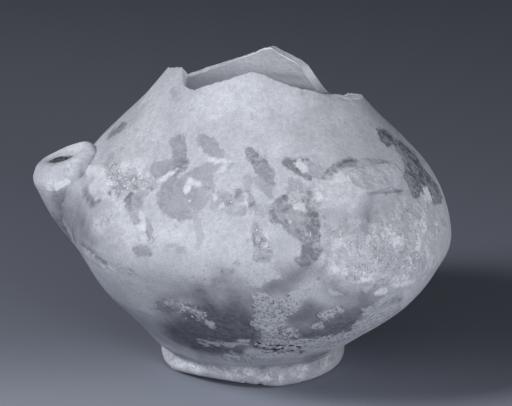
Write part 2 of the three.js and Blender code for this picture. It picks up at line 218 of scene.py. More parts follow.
# how far a point is outside the pot's wall, measured level
def outsideWall(points):
    angle = np.arctan2(points[..., 1], points[..., 0])
    return np.hypot(points[..., 0], points[..., 1]) - wallRadius(angle, points[..., 2])


# how far to go from each start to stand at a depth in the wall
def reachWall(start, direction, far, depth=0.0, halvings=24):
    near, beyond = np.zeros(len(start)), np.full(len(start), float(far))
    for _ in range(halvings):
        middle = (near + beyond) / 2
        out = outsideWall(start + direction * middle[:, None]) > -depth
        near, beyond = np.where(out, middle, near), np.where(out, beyond, middle)
    return near


def setInWall(points, depth):
    angle = np.arctan2(points[..., 1], points[..., 0])
    return polar(wallRadius(angle, points[..., 2]) - depth, angle, points[..., 2])


def evenLevels(low, high, count):
    mean = (outline[:, 1] + outline[:, 2]) / 2
    along = np.concatenate([[0], np.cumsum(np.hypot(np.diff(mean), np.diff(outline[:, 0])))])
    ends = np.interp([low, high], outline[:, 0], along)
    return np.interp(np.linspace(*ends, count), along, outline[:, 0])


# marks on the surface, read off the photograph: x, y and half width in pixels

# how dark the paint is, and its strokes
paintMarks = [
    (0.52, [(178, 142, 7.5), (180.5, 155, 7.5), (181, 163, 7.5)]),
    (0.48, [(180, 166, 8), (168, 169, 9), (158, 170, 8.5)]),
    (0.44, [(203, 140, 6.5), (211, 146, 8), (217, 153, 7), (221, 162, 4)]),
    (0.40, [(214, 166, 6), (204, 172, 7), (193, 180, 10), (184, 189, 12)]),
    (0.42, [(205, 179, 9), (190, 190, 14), (176, 197, 18), (169, 202, 11)]),
    (0.40, [(166, 198, 9), (172, 207, 11), (182, 212, 9), (187, 215, 6)]),
    (0.34, [(209, 188, 6), (206, 195, 6), (197, 204, 8)]),
    (0.48, [(250, 153, 6), (256.5, 161, 7.5), (263, 169, 8), (268, 177, 6.5), (273, 184, 3)]),
    (0.34, [(260, 182, 5), (266, 190, 5), (270, 196, 3)]),
    (0.28, [(249, 180, 5), (247, 187, 4)]),
    (0.60, [(286, 161.5, 2.8), (298, 161, 2.4), (308, 160, 1.6)]),
    (0.62, [(286, 163, 3.4), (292, 168, 4), (300, 174, 3.2), (309, 178, 2)]),
    (0.44, [(221, 198, 6), (232, 202, 8.5), (240, 205, 6)]),
    (0.50, [(238, 196, 6), (246, 198, 7.5), (250, 203, 5)]),
    (0.42, [(228, 208, 6), (240, 211, 6)]),
    (0.24, [(217, 196, 6), (214, 206, 5)]),
    (0.50, [(284, 199, 4), (280, 207, 8), (275, 216, 7)]),
    (0.56, [(285, 214, 10), (296, 222, 12), (306, 232, 12)]),
    (0.56, [(307, 194, 5), (307, 206, 6), (309, 216, 9), (309, 227, 11), (311, 240, 9), (311, 250, 10)]),
    (0.56, [(313, 252, 9), (307, 260, 7.5), (298, 261, 4.5)]),
    (0.42, [(139, 190, 6), (135, 199, 9), (135, 209, 8.5), (139, 219, 6.5)]),
    (0.44, [(147, 219, 2.4), (150, 230, 4), (151, 243, 3.8)]),
    (0.50, [(139, 250.5, 6), (146, 251, 6)]),
    (0.30, [(118, 176, 6), (130, 184, 9), (142, 189, 8)]),
    (0.24, [(169, 245, 2), (176, 247, 2.6)]),
    (0.40, [(179, 249.5, 4), (185, 251.5, 3.4)]),
    (0.24, [(196, 216, 3), (200, 230, 4), (200, 240, 3.5), (198, 249, 2.5)]),
    (0.46, [(254.5, 226, 3.5), (257, 236, 5), (262, 246, 7), (267, 252, 6.5)]),
    (0.50, [(258, 257, 6), (266, 259, 5)]),
    (0.50, [(323, 176.5, 2.6), (331, 171, 3.2), (340, 166, 4), (349, 162.5, 4.4), (355, 162, 3)]),
    (0.80, [(381.5, 132, 4.5), (386, 137, 6), (390, 141, 5)]),
    (0.80, [(394, 142, 3.4), (402, 150, 5), (410, 160, 6.5), (412, 172, 8), (414, 183, 7), (417, 194, 4.5)]),
    (0.80, [(400, 146, 4), (408, 154, 5.5), (414, 166, 7.5), (419, 177, 9), (428, 187, 9), (436, 198, 7)]),
    (0.60, [(124, 124, 3), (116, 131, 3.4), (108, 139, 2.4)]),
]
# pale chips that cover the paint
chipMarks = [
    [(186, 192, 2.6), (191, 182, 3.4)],
    [(192, 183, 3), (201, 184.5, 1.8)],
    [(141, 213, 2.2), (143, 220, 3), (143, 227, 2)],
    [(211, 159, 2), (216, 162, 2.6)],
    [(293, 196, 4), (297, 204, 5), (302, 207, 3)],
    [(299, 164.5, 3), (304, 169, 3.4)],
    [(424, 190, 3), (429, 199, 3.8)],
    [(257, 238, 1.6), (258, 240, 1.4)],
    [(264, 245, 1.6), (266, 247, 1.8)],
    [(178, 168.5, 0.7), (170, 174, 0.9), (161, 180, 0.9)],
    [(115, 165, 2.6), (121, 170, 4)],
    [(126, 166, 2.2), (129, 163, 1.4)],
    [(137, 182, 3.4), (146, 184, 4), (150, 181, 2)],
    [(118, 203, 2.2), (123, 206, 2.6)],
    [(131, 176, 1.8), (135, 171, 2)],
    [(108, 196, 1.6), (111, 200, 1.8)],
    [(244, 194, 1.0), (246, 196, 0.8)],
    [(290, 221, 1.0), (291, 223, 1.2)],
    [(308, 216, 0.9), (311, 217, 0.9)],
    [(187, 199, 1.0), (190, 201, 1.2)],
    [(318, 207, 2.2), (324, 205, 2.6)],
    [(345, 262, 3), (354, 256, 4.5), (352, 268, 3)],
    [(366, 279, 3.4), (382, 274, 4.6), (394, 268, 3)],
    [(376, 294, 2.4), (384, 290, 3.4)],
    [(394, 285, 1.6), (412, 282, 2.0)],
    [(396, 238, 3), (402, 246, 3.4)],
    [(405, 200, 2.2), (408, 212, 2.8)],
    [(416, 222, 1.4), (417, 229, 1.8)],
    [(333, 248, 3), (341, 243, 3.6)],
    [(330, 262, 2.4), (336, 270, 3)],
    [(91, 171, 4.6), (103, 173, 6), (106, 181, 6.5), (97, 191, 5)],
    [(84, 249, 0.8), (98, 260, 0.9), (114, 271, 0.9)],
    [(47, 186, 2.4), (56, 188, 3), (66, 182, 3)],
    [(70, 148, 3), (86, 146, 4), (92, 151, 4)],
]
# small marks that lie thickly
strewn = {
    # the middle, how far they spread and the number of them
    "places": [
        (122, 184, 17, 15, 20), (146, 182, 7, 8, 5), (230, 198, 18, 9, 8), (302, 200, 18, 9, 8),
        (226, 168, 6, 9, 3),
    ],
    "half": (0.9, 1.7), "aside": (-4, 4), "down": (1, 4),
    "bare": (0.42, 0.5),           # how bare the clay is, and how soft the edge
    "bareSeed": 5, "chipSeed": 11,
}
# direction in degrees, height and half width in mm, for the sides that the photograph doesn't show
farPaint = [
    (0.62, [(22, 76, 2.6), (30, 71, 3.2), (36, 64, 3.0)]),
    (0.45, [(60, 74, 2.2), (64, 68, 2.8), (62, 61, 2.6)]),
    (0.45, [(52, 60, 2.4), (60, 57, 3.0), (70, 56, 2.6)]),
    (0.42, [(92, 78, 2.0), (97, 71, 2.8), (95, 63, 2.4)]),
    (0.40, [(84, 58, 2.6), (96, 55, 3.6), (108, 57, 2.8)]),
    (0.42, [(120, 75, 2.2), (127, 69, 2.8), (133, 62, 2.2)]),
    (0.36, [(118, 55, 2.6), (128, 50, 3.2), (137, 51, 2.4)]),
    (0.40, [(150, 72, 1.8), (156, 66, 2.4), (154, 59, 2.0)]),
    (0.34, [(12, 52, 2.4), (22, 48, 3.2), (33, 49, 2.4)]),
    (0.36, [(74, 46, 2.0), (77, 43, 2.0)]),
    (0.36, [(104, 46, 1.8), (106, 44, 1.8)]),
]

# lime crust: how thick it is, and its patches
crustMarks = [
    (0.14, [(249, 266, 6), (253, 275, 8), (257, 283, 6)]),
    (0.14, [(258, 273, 7), (268, 274, 5.5), (275, 275, 4.5)]),
    (0.30, [(257, 297, 5.5), (265, 299, 5.5)]),
    (0.34, [(261, 306, 9), (264, 316, 11), (274, 314, 12), (284, 308, 10), (292, 303, 8)]),
    (0.20, [(296, 298, 6), (304, 291, 6), (314, 286, 5)]),
    (0.44, [(256, 324, 5), (266, 331, 7), (276, 334, 7)]),
    (0.50, [(280, 333, 7), (288, 335, 8), (296, 337, 6)]),
    (0.60, [(258, 346, 4), (270, 347, 5), (288, 348, 6.5), (300, 347, 5)]),
    (0.36, [(264, 341, 5), (302, 343, 5.5)]),
    (0.34, [(313, 327, 1.8), (320, 325, 2.6)]),
    (0.36, [(322, 319, 3.8), (331, 314, 6), (341, 310, 4.6)]),
    (0.34, [(304, 345, 5), (320, 342, 5), (336, 339, 5), (350, 335, 5), (362, 327, 7), (376, 320, 7),
            (388, 315, 6), (398, 311, 4)]),
    (0.28, [(364, 312, 4), (372, 311, 4)]),
    (0.24, [(378, 304, 3.6), (386, 300, 4.6), (399, 291, 4.4)]),
    (0.20, [(366, 290, 3), (376, 284, 3.6), (388, 277, 3), (398, 270, 3)]),
    (0.16, [(178, 306.5, 1.6), (184, 308.5, 2.4)]),
    (0.34, [(189, 310, 2.4), (199, 315, 4)]),
    (0.18, [(206, 322, 1.4), (211, 326, 2.2)]),
    (0.14, [(168, 302, 1.4), (171, 303, 1.6)]),
    (0.20, [(199, 342, 1.4), (210, 343, 1.8), (228, 345, 1.4), (246, 341, 2.4)]),
    (0.32, [(226, 356, 2.4), (240, 358, 3.4), (254, 359, 3.4)]),
    (0.24, [(262, 357, 3.4), (280, 355, 3), (296, 354, 2.4)]),
    (0.16, [(408, 194, 3), (411, 204, 3.6), (412, 212, 2.6)]),
    (0.14, [(344, 284, 3), (352, 279, 3.4)]),
    (0.14, [(330, 290, 3), (338, 294, 3)]),
]
farCrust = [
    (0.5, [(8, 22, 3.4), (16, 19, 4.6), (26, 20, 3.6)]),
    (0.4, [(40, 27, 3.0), (50, 24, 4.4), (60, 27, 3.0)]),
    (0.5, [(80, 17, 4.0), (92, 15, 5.0), (104, 18, 3.6)]),
    (0.3, [(98, 33, 3.4), (108, 36, 3.0)]),
    (0.4, [(130, 20, 3.2), (142, 18, 4.2), (152, 22, 3.0)]),
    (0.3, [(70, 50, 2.2), (78, 47, 2.8)]),
    (0.3, [(140, 42, 2.4), (147, 38, 3.0)]),
    (0.3, [(20, 40, 3.0), (28, 36, 3.4)]),
    (0.24, [(172, 24, 2.4), (182, 21, 3.0), (190, 23, 2.2)]),
]

# bare dark clay, and painted shade in places: how dark, how soft its edge is in mm, and its patches
bareMarks = [
    # the patches low on the belly, below y 260, are partly bare clay and partly painted shade where the belly turns
    # under
    (0.16, 9.0, [(132, 300, 12), (150, 312, 14)]),
    (0.52, 7.0, [(170, 298, 12), (200, 292, 16), (226, 289, 18), (248, 292, 16)]),
    (0.28, 7.0, [(150, 274, 10), (180, 270, 12), (212, 267, 13)]),
    (0.50, 9.0, [(176, 318, 10), (200, 308, 12), (234, 306, 18)]),
    (0.96, 6.0, [(176, 330, 11), (200, 327, 15), (230, 327, 19), (244, 330, 16)]),
    (0.95, 3.0, [(246, 335, 11), (210, 341, 9), (184, 338, 6)]),
    (0.80, 3.0, [(294, 320, 10), (310, 313, 13), (328, 322, 12), (348, 317, 11), (362, 311, 8)]),
    (0.97, 2.5, [(300, 335, 7), (318, 334, 8), (338, 331, 8), (352, 327, 6)]),
    (0.66, 4.0, [(266, 289, 8), (282, 284, 12), (296, 274, 12), (308, 268, 8)]),
    (0.24, 5.0, [(284, 240, 6), (292, 246, 6)]),
    (0.60, 5.0, [(326, 276, 6), (342, 294, 12), (364, 292, 12), (378, 284, 8)]),
    (0.34, 4.0, [(264, 246, 6), (276, 250, 8), (276, 264, 8)]),
    (0.30, 4.0, [(290, 293, 6), (312, 290, 8), (330, 290, 8)]),
    (0.14, 5.0, [(232, 246, 10), (246, 254, 8)]),
    (0.60, 4.0, [(372, 306, 9), (394, 299, 7)]),
    (0.28, 4.0, [(322, 216, 9), (340, 217, 10), (358, 214, 8)]),
    (0.22, 4.0, [(330, 232, 6), (348, 238, 6)]),
    # under the spout: partly stain, partly painted shadow of the spout
    (0.42, 4.0, [(54, 201, 10), (60, 212, 13), (66, 226, 12), (74, 236, 9)]),
    (0.30, 5.0, [(60, 206, 15), (66, 218, 18), (72, 230, 14)]),
    (0.48, 3.0, [(66, 192, 7), (72, 203, 9), (76, 213, 10), (84, 228, 8), (92, 242, 6)]),
    (0.24, 4.0, [(46, 171, 6), (62, 173, 8), (76, 182, 10), (76, 192, 8)]),
    # painted shade in the groove left of the raised patch, a painted shadow line under its lower edge and painted
    # shade below it
    (0.42, 1.6, [(81, 164, 2.6), (82, 176, 3.6), (86, 191, 3.6), (92, 203, 4)]),
    (0.70, 0.7, [(117, 183, 1.3), (110, 193, 1.3), (98, 202, 1.3)]),
    (0.24, 3.0, [(98, 208, 7), (90, 216, 8), (100, 224, 7)]),
    (0.55, 1.0, [(82, 244, 1.6), (94, 254, 2.2), (106, 264, 2)]),
    (0.16, 4.0, [(98, 236, 9), (108, 240, 7)]),
    (0.16, 5.0, [(110, 156, 10), (130, 152, 12), (150, 150, 8)]),
    # partly darker clay, partly painted shade: the crease above the foot, the foot's upper band and its right end
    (0.86, 1.6, [(194, 346, 2.6), (215, 350, 3.6), (240, 352, 4)]),
    (0.50, 2.5, [(200, 356, 4), (226, 361, 4), (262, 362, 6), (296, 360, 6), (326, 352, 6)]),
    (0.34, 2.0, [(262, 370, 3), (296, 368, 4), (326, 359, 4)]),
    (0.50, 3.0, [(312, 366, 7), (326, 361, 8), (340, 351, 7)]),
    # painted shadow line under the stub's lower edge
    (0.64, 0.8, [(368, 194, 0.6), (384, 192.6, 0.9), (402, 190.6, 1.1)]),
    (0.22, 1.5, [(362, 166, 4), (380, 163, 5), (394, 168, 4)]),
    # painted shadow below the stub
    (0.46, 3.0, [(370, 198, 4), (368, 208, 5), (368, 222, 6), (370, 234, 5)]),
    (0.80, 0.7, [(344, 162, 1.6), (352, 160, 1.8)]),
    (0.70, 0.7, [(338, 167, 1.2), (341, 165, 1.2)]),
    (0.80, 0.8, [(256, 347, 2.6), (266, 348, 2.8)]),
    (0.90, 0.6, [(281, 338, 2.4), (286, 339, 2.6)]),
]
# small pale flakes: how many, how soft the edge of the patch is, and its patches
flakeMarks = [
    (0.85, 3.0, [(112, 165, 8), (120, 185, 12), (140, 178, 9), (152, 184, 6)]),
    (0.60, 3.0, [(128, 205, 7), (140, 222, 7), (150, 240, 6)]),
    (0.55, 4.0, [(206, 186, 8), (222, 205, 10), (254, 208, 10)]),
    (0.50, 3.0, [(228, 158, 6), (222, 172, 6)]),
    (0.75, 3.0, [(296, 196, 10), (318, 203, 9), (292, 182, 7)]),
    (0.50, 4.0, [(316, 172, 8), (334, 185, 7)]),
    (0.62, 6.0, [(335, 236, 16), (360, 240, 20), (400, 240, 22)]),
    (0.66, 6.0, [(340, 272, 16), (375, 270, 20), (415, 265, 16)]),
    (0.70, 3.0, [(256, 232, 8), (264, 252, 11)]),
    (0.42, 3.0, [(284, 214, 10), (304, 228, 12), (308, 248, 10)]),
    (0.45, 4.0, [(205, 283, 8), (214, 290, 6)]),
    (0.60, 4.0, [(410, 210, 12), (432, 225, 12)]),
    (0.35, 5.0, [(60, 180, 12), (75, 160, 10)]),
    (0.45, 4.0, [(100, 225, 12), (92, 215, 8)]),
    (0.40, 4.0, [(170, 315, 14), (200, 318, 12)]),
    (0.95, 2.0, [(178, 306, 4), (190, 310, 6), (203, 316, 5)]),
    (0.30, 6.0, [(150, 135, 18), (120, 150, 14)]),
    (0.66, 3.0, [(166, 353, 8), (200, 367, 6), (240, 375, 6), (290, 377, 6), (332, 360, 6)]),
]

# thicker, whiter slip, and painted highlights where light falls
paleAndLitMarks = [
    (1.0, 0.8, [(90, 171, 6), (103, 172, 8), (105, 181, 8), (97, 190, 6.5)]),
    # painted highlight along the lit edge of the raised patch
    (1.5, 0.4, [(114, 181, 0.9), (107, 190, 0.9), (96, 199, 0.9)]),
    # painted light on the top of the spout's tip
    (1.0, 2.0, [(50, 152, 5), (66, 148, 7), (88, 147, 8)]),
    (0.6, 2.0, [(43, 180, 5), (54, 186, 5), (68, 180, 4)]),
    # painted highlight on the clay ramp left of the stub, lit from the left
    (1.0, 3.0, [(330, 190, 8), (345, 185, 13), (356, 192, 9), (340, 202, 6)]),
    (0.6, 3.0, [(122, 170, 8), (140, 168, 8)]),
    (0.9, 6.0, [(116, 212, 8), (132, 222, 12), (130, 244, 10)]),
    (0.6, 5.0, [(160, 232, 12), (185, 236, 10)]),
    (0.5, 6.0, [(250, 100, 22), (215, 110, 18)]),
    (0.7, 7.0, [(300, 104, 14), (326, 128, 12)]),
    (0.7, 7.0, [(150, 108, 12), (140, 148, 14), (148, 190, 9)]),
    (0.8, 5.0, [(352, 244, 8), (374, 250, 13), (392, 262, 12)]),
    (0.6, 3.0, [(412, 226, 7), (414, 242, 7)]),
    (0.9, 2.5, [(406, 200, 5), (410, 212, 5)]),
    (0.5, 3.0, [(284, 146, 5), (276, 150, 5)]),
    # painted light on the foot's left end, which faces the lamp
    (1.4, 2.0, [(164, 351, 9), (176, 360, 9), (198, 367, 5)]),
    (0.4, 1.5, [(206, 368, 4), (240, 376, 4), (256, 378, 4)]),
    (0.7, 3.0, [(330, 228, 9), (352, 246, 10), (366, 262, 10), (384, 278, 8)]),
    (0.7, 3.0, [(300, 295, 7), (310, 288, 9), (324, 282, 9), (336, 274, 9)]),
    (0.8, 1.2, [(82, 247, 1.4), (96, 258, 1.2), (115, 272, 1.2)]),
]

# clay standing proud of the wall, or cut into it: mm, softness and the place
raisedMarks = [
    (1.2, 0.35, [(90, 171, 5), (103, 172, 7), (105, 181, 8), (97, 190, 6.5)]),
    (-0.5, 0.4, [(209, 366, 1.0), (222, 369.5, 1.0), (238, 372, 1.0)]),
    (0.35, 0.3, [(82, 246, 0.7), (96, 257, 0.7), (115, 271, 0.7)]),
    (-0.22, 0.4, [(84, 250, 0.9), (98, 261, 1.0), (112, 272, 0.8)]),
]


def photoPath(path):
    spots = []
    for x, y, half in path:
        spot, pixel = onPhoto(x, y)
        spots.append({"spot": np.array(spot), "half": half * pixel, "seen": np.array([x, y]), "pixel": pixel})
    return spots


def farPath(path):
    spots = []
    for degrees, height, half in path:
        angle = math.radians(degrees)
        spots.append({"spot": polar(wallRadius(angle, height), angle, height), "half": half})
    return spots


def strewnMarks(seed):
    chance = np.random.default_rng(seed)
    marks = []
    for x, y, wide, high, count in strewn["places"]:
        for _ in range(count):
            startX, startY = x + chance.uniform(-wide, wide), y + chance.uniform(-high, high)
            half = chance.uniform(*strewn["half"])
            endX, endY = startX + chance.uniform(*strewn["aside"]), startY + chance.uniform(*strewn["down"])
            marks.append([(startX, startY, half), (endX, endY, half)])
    return marks


def placeMarks(marks, placePath=photoPath):
    return [(*values, placePath(path)) for *values, path in marks]


paintPaths = placeMarks(paintMarks) + placeMarks(farPaint, farPath)
crustPaths = placeMarks(crustMarks) + placeMarks(farCrust, farPath)
barePaths = placeMarks(bareMarks + [(*strewn["bare"], path) for path in strewnMarks(strewn["bareSeed"])])
chipPaths = placeMarks([(1.0, path) for path in chipMarks + strewnMarks(strewn["chipSeed"])])
flakePaths = placeMarks(flakeMarks)
paleAndLitPaths = placeMarks(paleAndLitMarks)
raisedPaths = placeMarks(raisedMarks)
allPaths = (paintPaths, chipPaths, crustPaths, barePaths, flakePaths, paleAndLitPaths, raisedPaths)
print("marks placed:", sum(map(len, allPaths)))

# how the marks lie on the clay
coat = {
    "nowhere": -40.0,              # mm inside a mark, for a place far from them all
    "facing": (0.02, 0.12),        # how far the clay has to face the camera for the photograph to lead
    "leading": (14, 5),            # mm outside a mark where the photograph starts to lead, and the fade
    # size in mm, layers and shift of the patterns that roughen the edges, and by how many mm
    "ragged": (2.6, 4, 5.0), "patchy": (15, 3, 7.0),
    "raggedPaint": 0.7, "raggedChips": 0.8, "raggedCrust": 1.2, "patchyCrust": 0.4,
    "chipEdge": 0.5, "chipPale": 2.2,
    # clay laid bare low down, more so at the back, with painted shade where the belly turns under
    "lowFrom": 41, "lowFade": 24, "lowWander": [(6, 22, 3, 3.0)],
    "backFrom": -20, "backFade": 30,
    "lowBareAndShade": (0.22, 0.46), "backFlakes": (0.25, 0.6),
    "crustEdge": (2.4, 0.1), "crustLevel": 0.8, "crustLumps": [(0.3, 3.0, 3, 2.0)],
}


def smooth(share):
    share = np.clip(share, 0, 1)
    return share * share * (3 - 2 * share)


# layered noise, with features of about that size in mm
def rough(points, size, layers, shift):
    return np.array([noise.fractal(p, 1.0, 2.0, layers) for p in (points / size + shift).tolist()])


def bumps(points, rows):
    return sum(height * rough(points, *pattern) for height, *pattern in rows)


# points with the pixel that shows each one, and how far it faces the camera
def placed(points, normals):
    local = (points - np.array(eye)) @ np.array(turn)
    scale = focus / local[:, 2]
    seen = np.stack([photo["width"] / 2 - local[:, 0] * scale,
                     photo["height"] / 2 + local[:, 1] * scale], axis=-1)
    view = np.array(eye) - points
    facing = (normals * view).sum(axis=1) / np.linalg.norm(view, axis=1)
    least, fade = coat["facing"]
    return {"points": points, "normals": normals, "seen": seen, "facing": smooth((facing - least) / fade)}


def besideLine(points, start, end):
    along = end - start
    share = np.clip((points - start) @ along / (along @ along), 0, 1)
    return share, np.linalg.norm(points - (start + share[:, None] * along), axis=1)


# how far each point is inside a brushed path, in mm, as the photograph shows it where that is known
def insidePath(place, path):
    best = np.full(len(place["points"]), coat["nowhere"])
    near, fade = coat["leading"]
    for start, end in zip(path, path[1:]):
        share, away = besideLine(place["points"], start["spot"], end["spot"])
        inside = start["half"] + share * (end["half"] - start["half"]) - away
        if "seen" in start:
            share, away = besideLine(place["seen"], start["seen"], end["seen"])
            shown = start["half"] + share * (end["half"] - start["half"]) - away * start["pixel"]
            inside = inside + (shown - inside) * place["facing"] * smooth((inside + near) / fade)
        best = np.maximum(best, inside)
    return best


def deepest(place, paths):
    best, value = np.full(len(place["points"]), coat["nowhere"]), np.zeros(len(place["points"]))
    for amount, path in paths:
        inside = insidePath(place, path)
        value = np.where(inside > best, amount, value)
        best = np.maximum(best, inside)
    return best, value


# from 0 outside a mark to 1 inside it
def softMark(place, path, soft):
    return smooth(insidePath(place, path) / soft / 2 + 0.5)


def softSum(place, paths):
    left = np.ones(len(place["points"]))
    for amount, soft, path in paths:
        left *= 1 - amount * softMark(place, path, soft)
    return 1 - left


# what is painted and grown on the outside at each point
def surfaceFields(place):
    points = place["points"]
    ragged, patchy = rough(points, *coat["ragged"]), rough(points, *coat["patchy"])
    paint, cover = deepest(place, paintPaths)
    crust, thickness = deepest(place, crustPaths)
    # darker towards the bottom: bare clay and painted shade under the belly
    low = smooth((coat["lowFrom"] - points[:, 2] + bumps(points, coat["lowWander"])) / coat["lowFade"])
    back = smooth((points[:, 1] - coat["backFrom"]) / coat["backFade"])
    least, more = coat["lowBareAndShade"]
    bare = np.maximum(softSum(place, barePaths), low * (least + more * back))
    least, more = coat["backFlakes"]
    flake = np.maximum(softSum(place, flakePaths), back * (least + more * np.clip(patchy, 0, 1)))
    # a chip cuts into the paint and shows pale
    chips = deepest(place, chipPaths)[0] + coat["raggedChips"] * ragged
    chipped = smooth(chips / coat["chipEdge"] + 0.5)
    return {
        "paint": np.minimum(paint + coat["raggedPaint"] * ragged, -chips),
        "cover": cover,
        "crust": crust + coat["raggedCrust"] * ragged + coat["patchyCrust"] * patchy,
        "thickness": thickness,
        "bare": bare * (1 - chipped),
        "flake": flake,
        "paleAndLit": np.maximum(softSum(place, paleAndLitPaths), coat["chipPale"] * chipped),
    }


def raised(place):
    lift = np.zeros(len(place["points"]))
    for amount, soft, path in raisedPaths:
        lift += amount * softMark(place, path, soft)
    return lift


def relief(place, fields):
    points = place["points"]
    wide, start = coat["crustEdge"]
    grown = smooth(fields["crust"] / wide + start) * fields["thickness"]
    grown = grown * (coat["crustLevel"] + bumps(points, coat["crustLumps"]))
    return grown + raised(place) + bumps(points, pot["uneven"])


def spokeAngle(step, spokes):
    return step * 2 * math.pi / spokes


# rows and spokes: the row number stands in z until every vertex is set in place
def turnedGrid(strips, spokes, closed=False):
    bm = bmesh.new()
    parts, start = [], 0
    for count in strips:
        line = [bm.verts.new((1, 0, start + i)) for i in range(count)]
        pairs = list(zip(line, line[1:])) + ([(line[-1], line[0])] if closed else [])
        parts += line + [bm.edges.new(pair) for pair in pairs]
        start += count
    bmesh.ops.spin(bm, geom=parts, cent=(0, 0, 0), axis=(0, 0, 1), dvec=(0, 0, 0),
                   angle=2 * math.pi, steps=spokes, use_merge=True)
    co = np.array([v.co for v in bm.verts])
    row = np.rint(co[:, 2]).astype(int)
    step = np.rint(np.arctan2(co[:, 1], co[:, 0]) / (2 * math.pi / spokes)).astype(int) % spokes
    return bm, row, step, spokeAngle(step, spokes)


# which vertices lie in a strip of rows, and each one's place in it
def strip(row, start, count):
    on = (row >= start) & (row < start + count)
    return on, np.where(on, row - start, 0)


# a soft bend from one line to another round a third
def bend(share, start, corner, end):
    return (1 - share) ** 2 * start + 2 * share * (1 - share) * corner + share ** 2 * end


def setPoints(bm, points):
    for v, point in zip(bm.verts, points.tolist()):
        v.co = point


def placedVerts(bm):
    bmesh.ops.recalc_face_normals(bm, faces=bm.faces)
    bm.normal_update()
    return placed(np.array([v.co for v in bm.verts]), np.array([v.normal for v in bm.verts]))


def setFields(bm, fields, chosen=None):
    layers = bm.verts.layers.float
    for name in fields:
        if name not in layers:
            layers.new(name)
    verts = [v for v, on in zip(bm.verts, chosen) if on] if chosen is not None else bm.verts
    for name, values in fields.items():
        layer = layers[name]
        for v, value in zip(verts, values.tolist()):
            v[layer] = value


def finishPiece(bm, name, nodes, materials, normals=None):
    for v in bm.verts:
        v.co.x += axisX
    bmesh.ops.scale(bm, verts=bm.verts, vec=(mm, mm, mm))
    mesh = bpy.data.meshes.new(name)
    bm.to_mesh(mesh)
    bm.free()
    mesh.shade_smooth()
    if normals is not None:
        mesh.normals_split_custom_set_from_vertices(normals)
    for material in materials:
        mesh.materials.append(material)
    piece = bpy.data.objects.new(name, mesh)
    bpy.context.scene.collection.objects.link(piece)
    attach(piece, body)
    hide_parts(*nodes)
    print(name, "has", sum(len(face.vertices) - 2 for face in mesh.polygons), "triangles")


# the outside of the wall with all that lies on it
def outerWall(angle, height):
    base, out = polar(wallRadius(angle, height), angle, height), wallNormal(angle, height)
    place = placed(base, out)
    fields = surfaceFields(place)
    return base + out * relief(place, fields)[:, None], fields


# the inside of the wall with its throwing rings
def innerWall(angle, height, fade=1.0):
    deep, apart = pot["groove"]
    ring = deep * np.sin(2 * math.pi * height / apart + angle) * fade
    return polar(innerRadius(angle, height) + ring, angle, height)


edgeDegrees, edgeHeights, edgeRises = np.array(brokenEdge).T


# the height of the broken edge on the outside and on the inside
def edgeAt(angle):
    degrees = np.degrees(angle)
    ring = polar(np.full(len(angle), pot["chipRing"]), angle, 0)
    height = np.interp(degrees, edgeDegrees, edgeHeights, period=360) + bumps(ring, pot["outerChips"])
    rise = np.interp(degrees, edgeDegrees, edgeRises, period=360) + bumps(ring, pot["innerChips"])
    return height, height + rise


def upperWall():
    seam, peak = pot["seam"], pot["peak"]
    levels = (evenLevels(seam, peak, pot["upperRows"]) - seam) / (peak - seam)
    climb = np.concatenate([levels[:-1], pot["toBreak"]])
    across = np.array(pot["acrossBreak"])
    down = np.concatenate([pot["fromBreak"], np.linspace(pot["insideFrom"], 1, pot["upperInside"])])
    bm, row, step, angle = turnedGrid([len(climb) + len(across) + len(down)], pot["spokes"])
    outerEdge, innerEdge = edgeAt(angle)
    points = np.zeros((len(row), 3))

    onOuter, at = strip(row, 0, len(climb))
    height = seam + climb[at] * (outerEdge - seam)
    points[onOuter], fields = outerWall(angle[onOuter], height[onOuter])

    onInner, at = strip(row, len(climb) + len(across), len(down))
    height = innerEdge + down[at] * (seam - innerEdge)
    points[onInner] = innerWall(angle, height, smooth(down[at] * pot["grooveFade"]))[onInner]

    # the fracture runs from the outer edge to the inner one
    onBreak, at = strip(row, len(climb), len(across))
    low, _ = outerWall(angle[onBreak], outerEdge[onBreak])
    high = polar(innerRadius(angle, innerEdge), angle, innerEdge)[onBreak]
    share = across[at[onBreak]][:, None]
    flat = low + share * (high - low)
    lift = bumps(flat, pot["fracture"]) * np.sin(math.pi * share[:, 0])
    points[onBreak] = flat + np.array([0, 0, 1]) * lift[:, None]
    setPoints(bm, points)

    setFields(bm, {name: np.full(len(row), coat["nowhere"]) for name in ("paint", "crust")})
    setFields(bm, fields, onOuter)
    markRows(bm, step, np.where(onOuter, 0, np.where(onBreak, 1, 2)))
    return bm


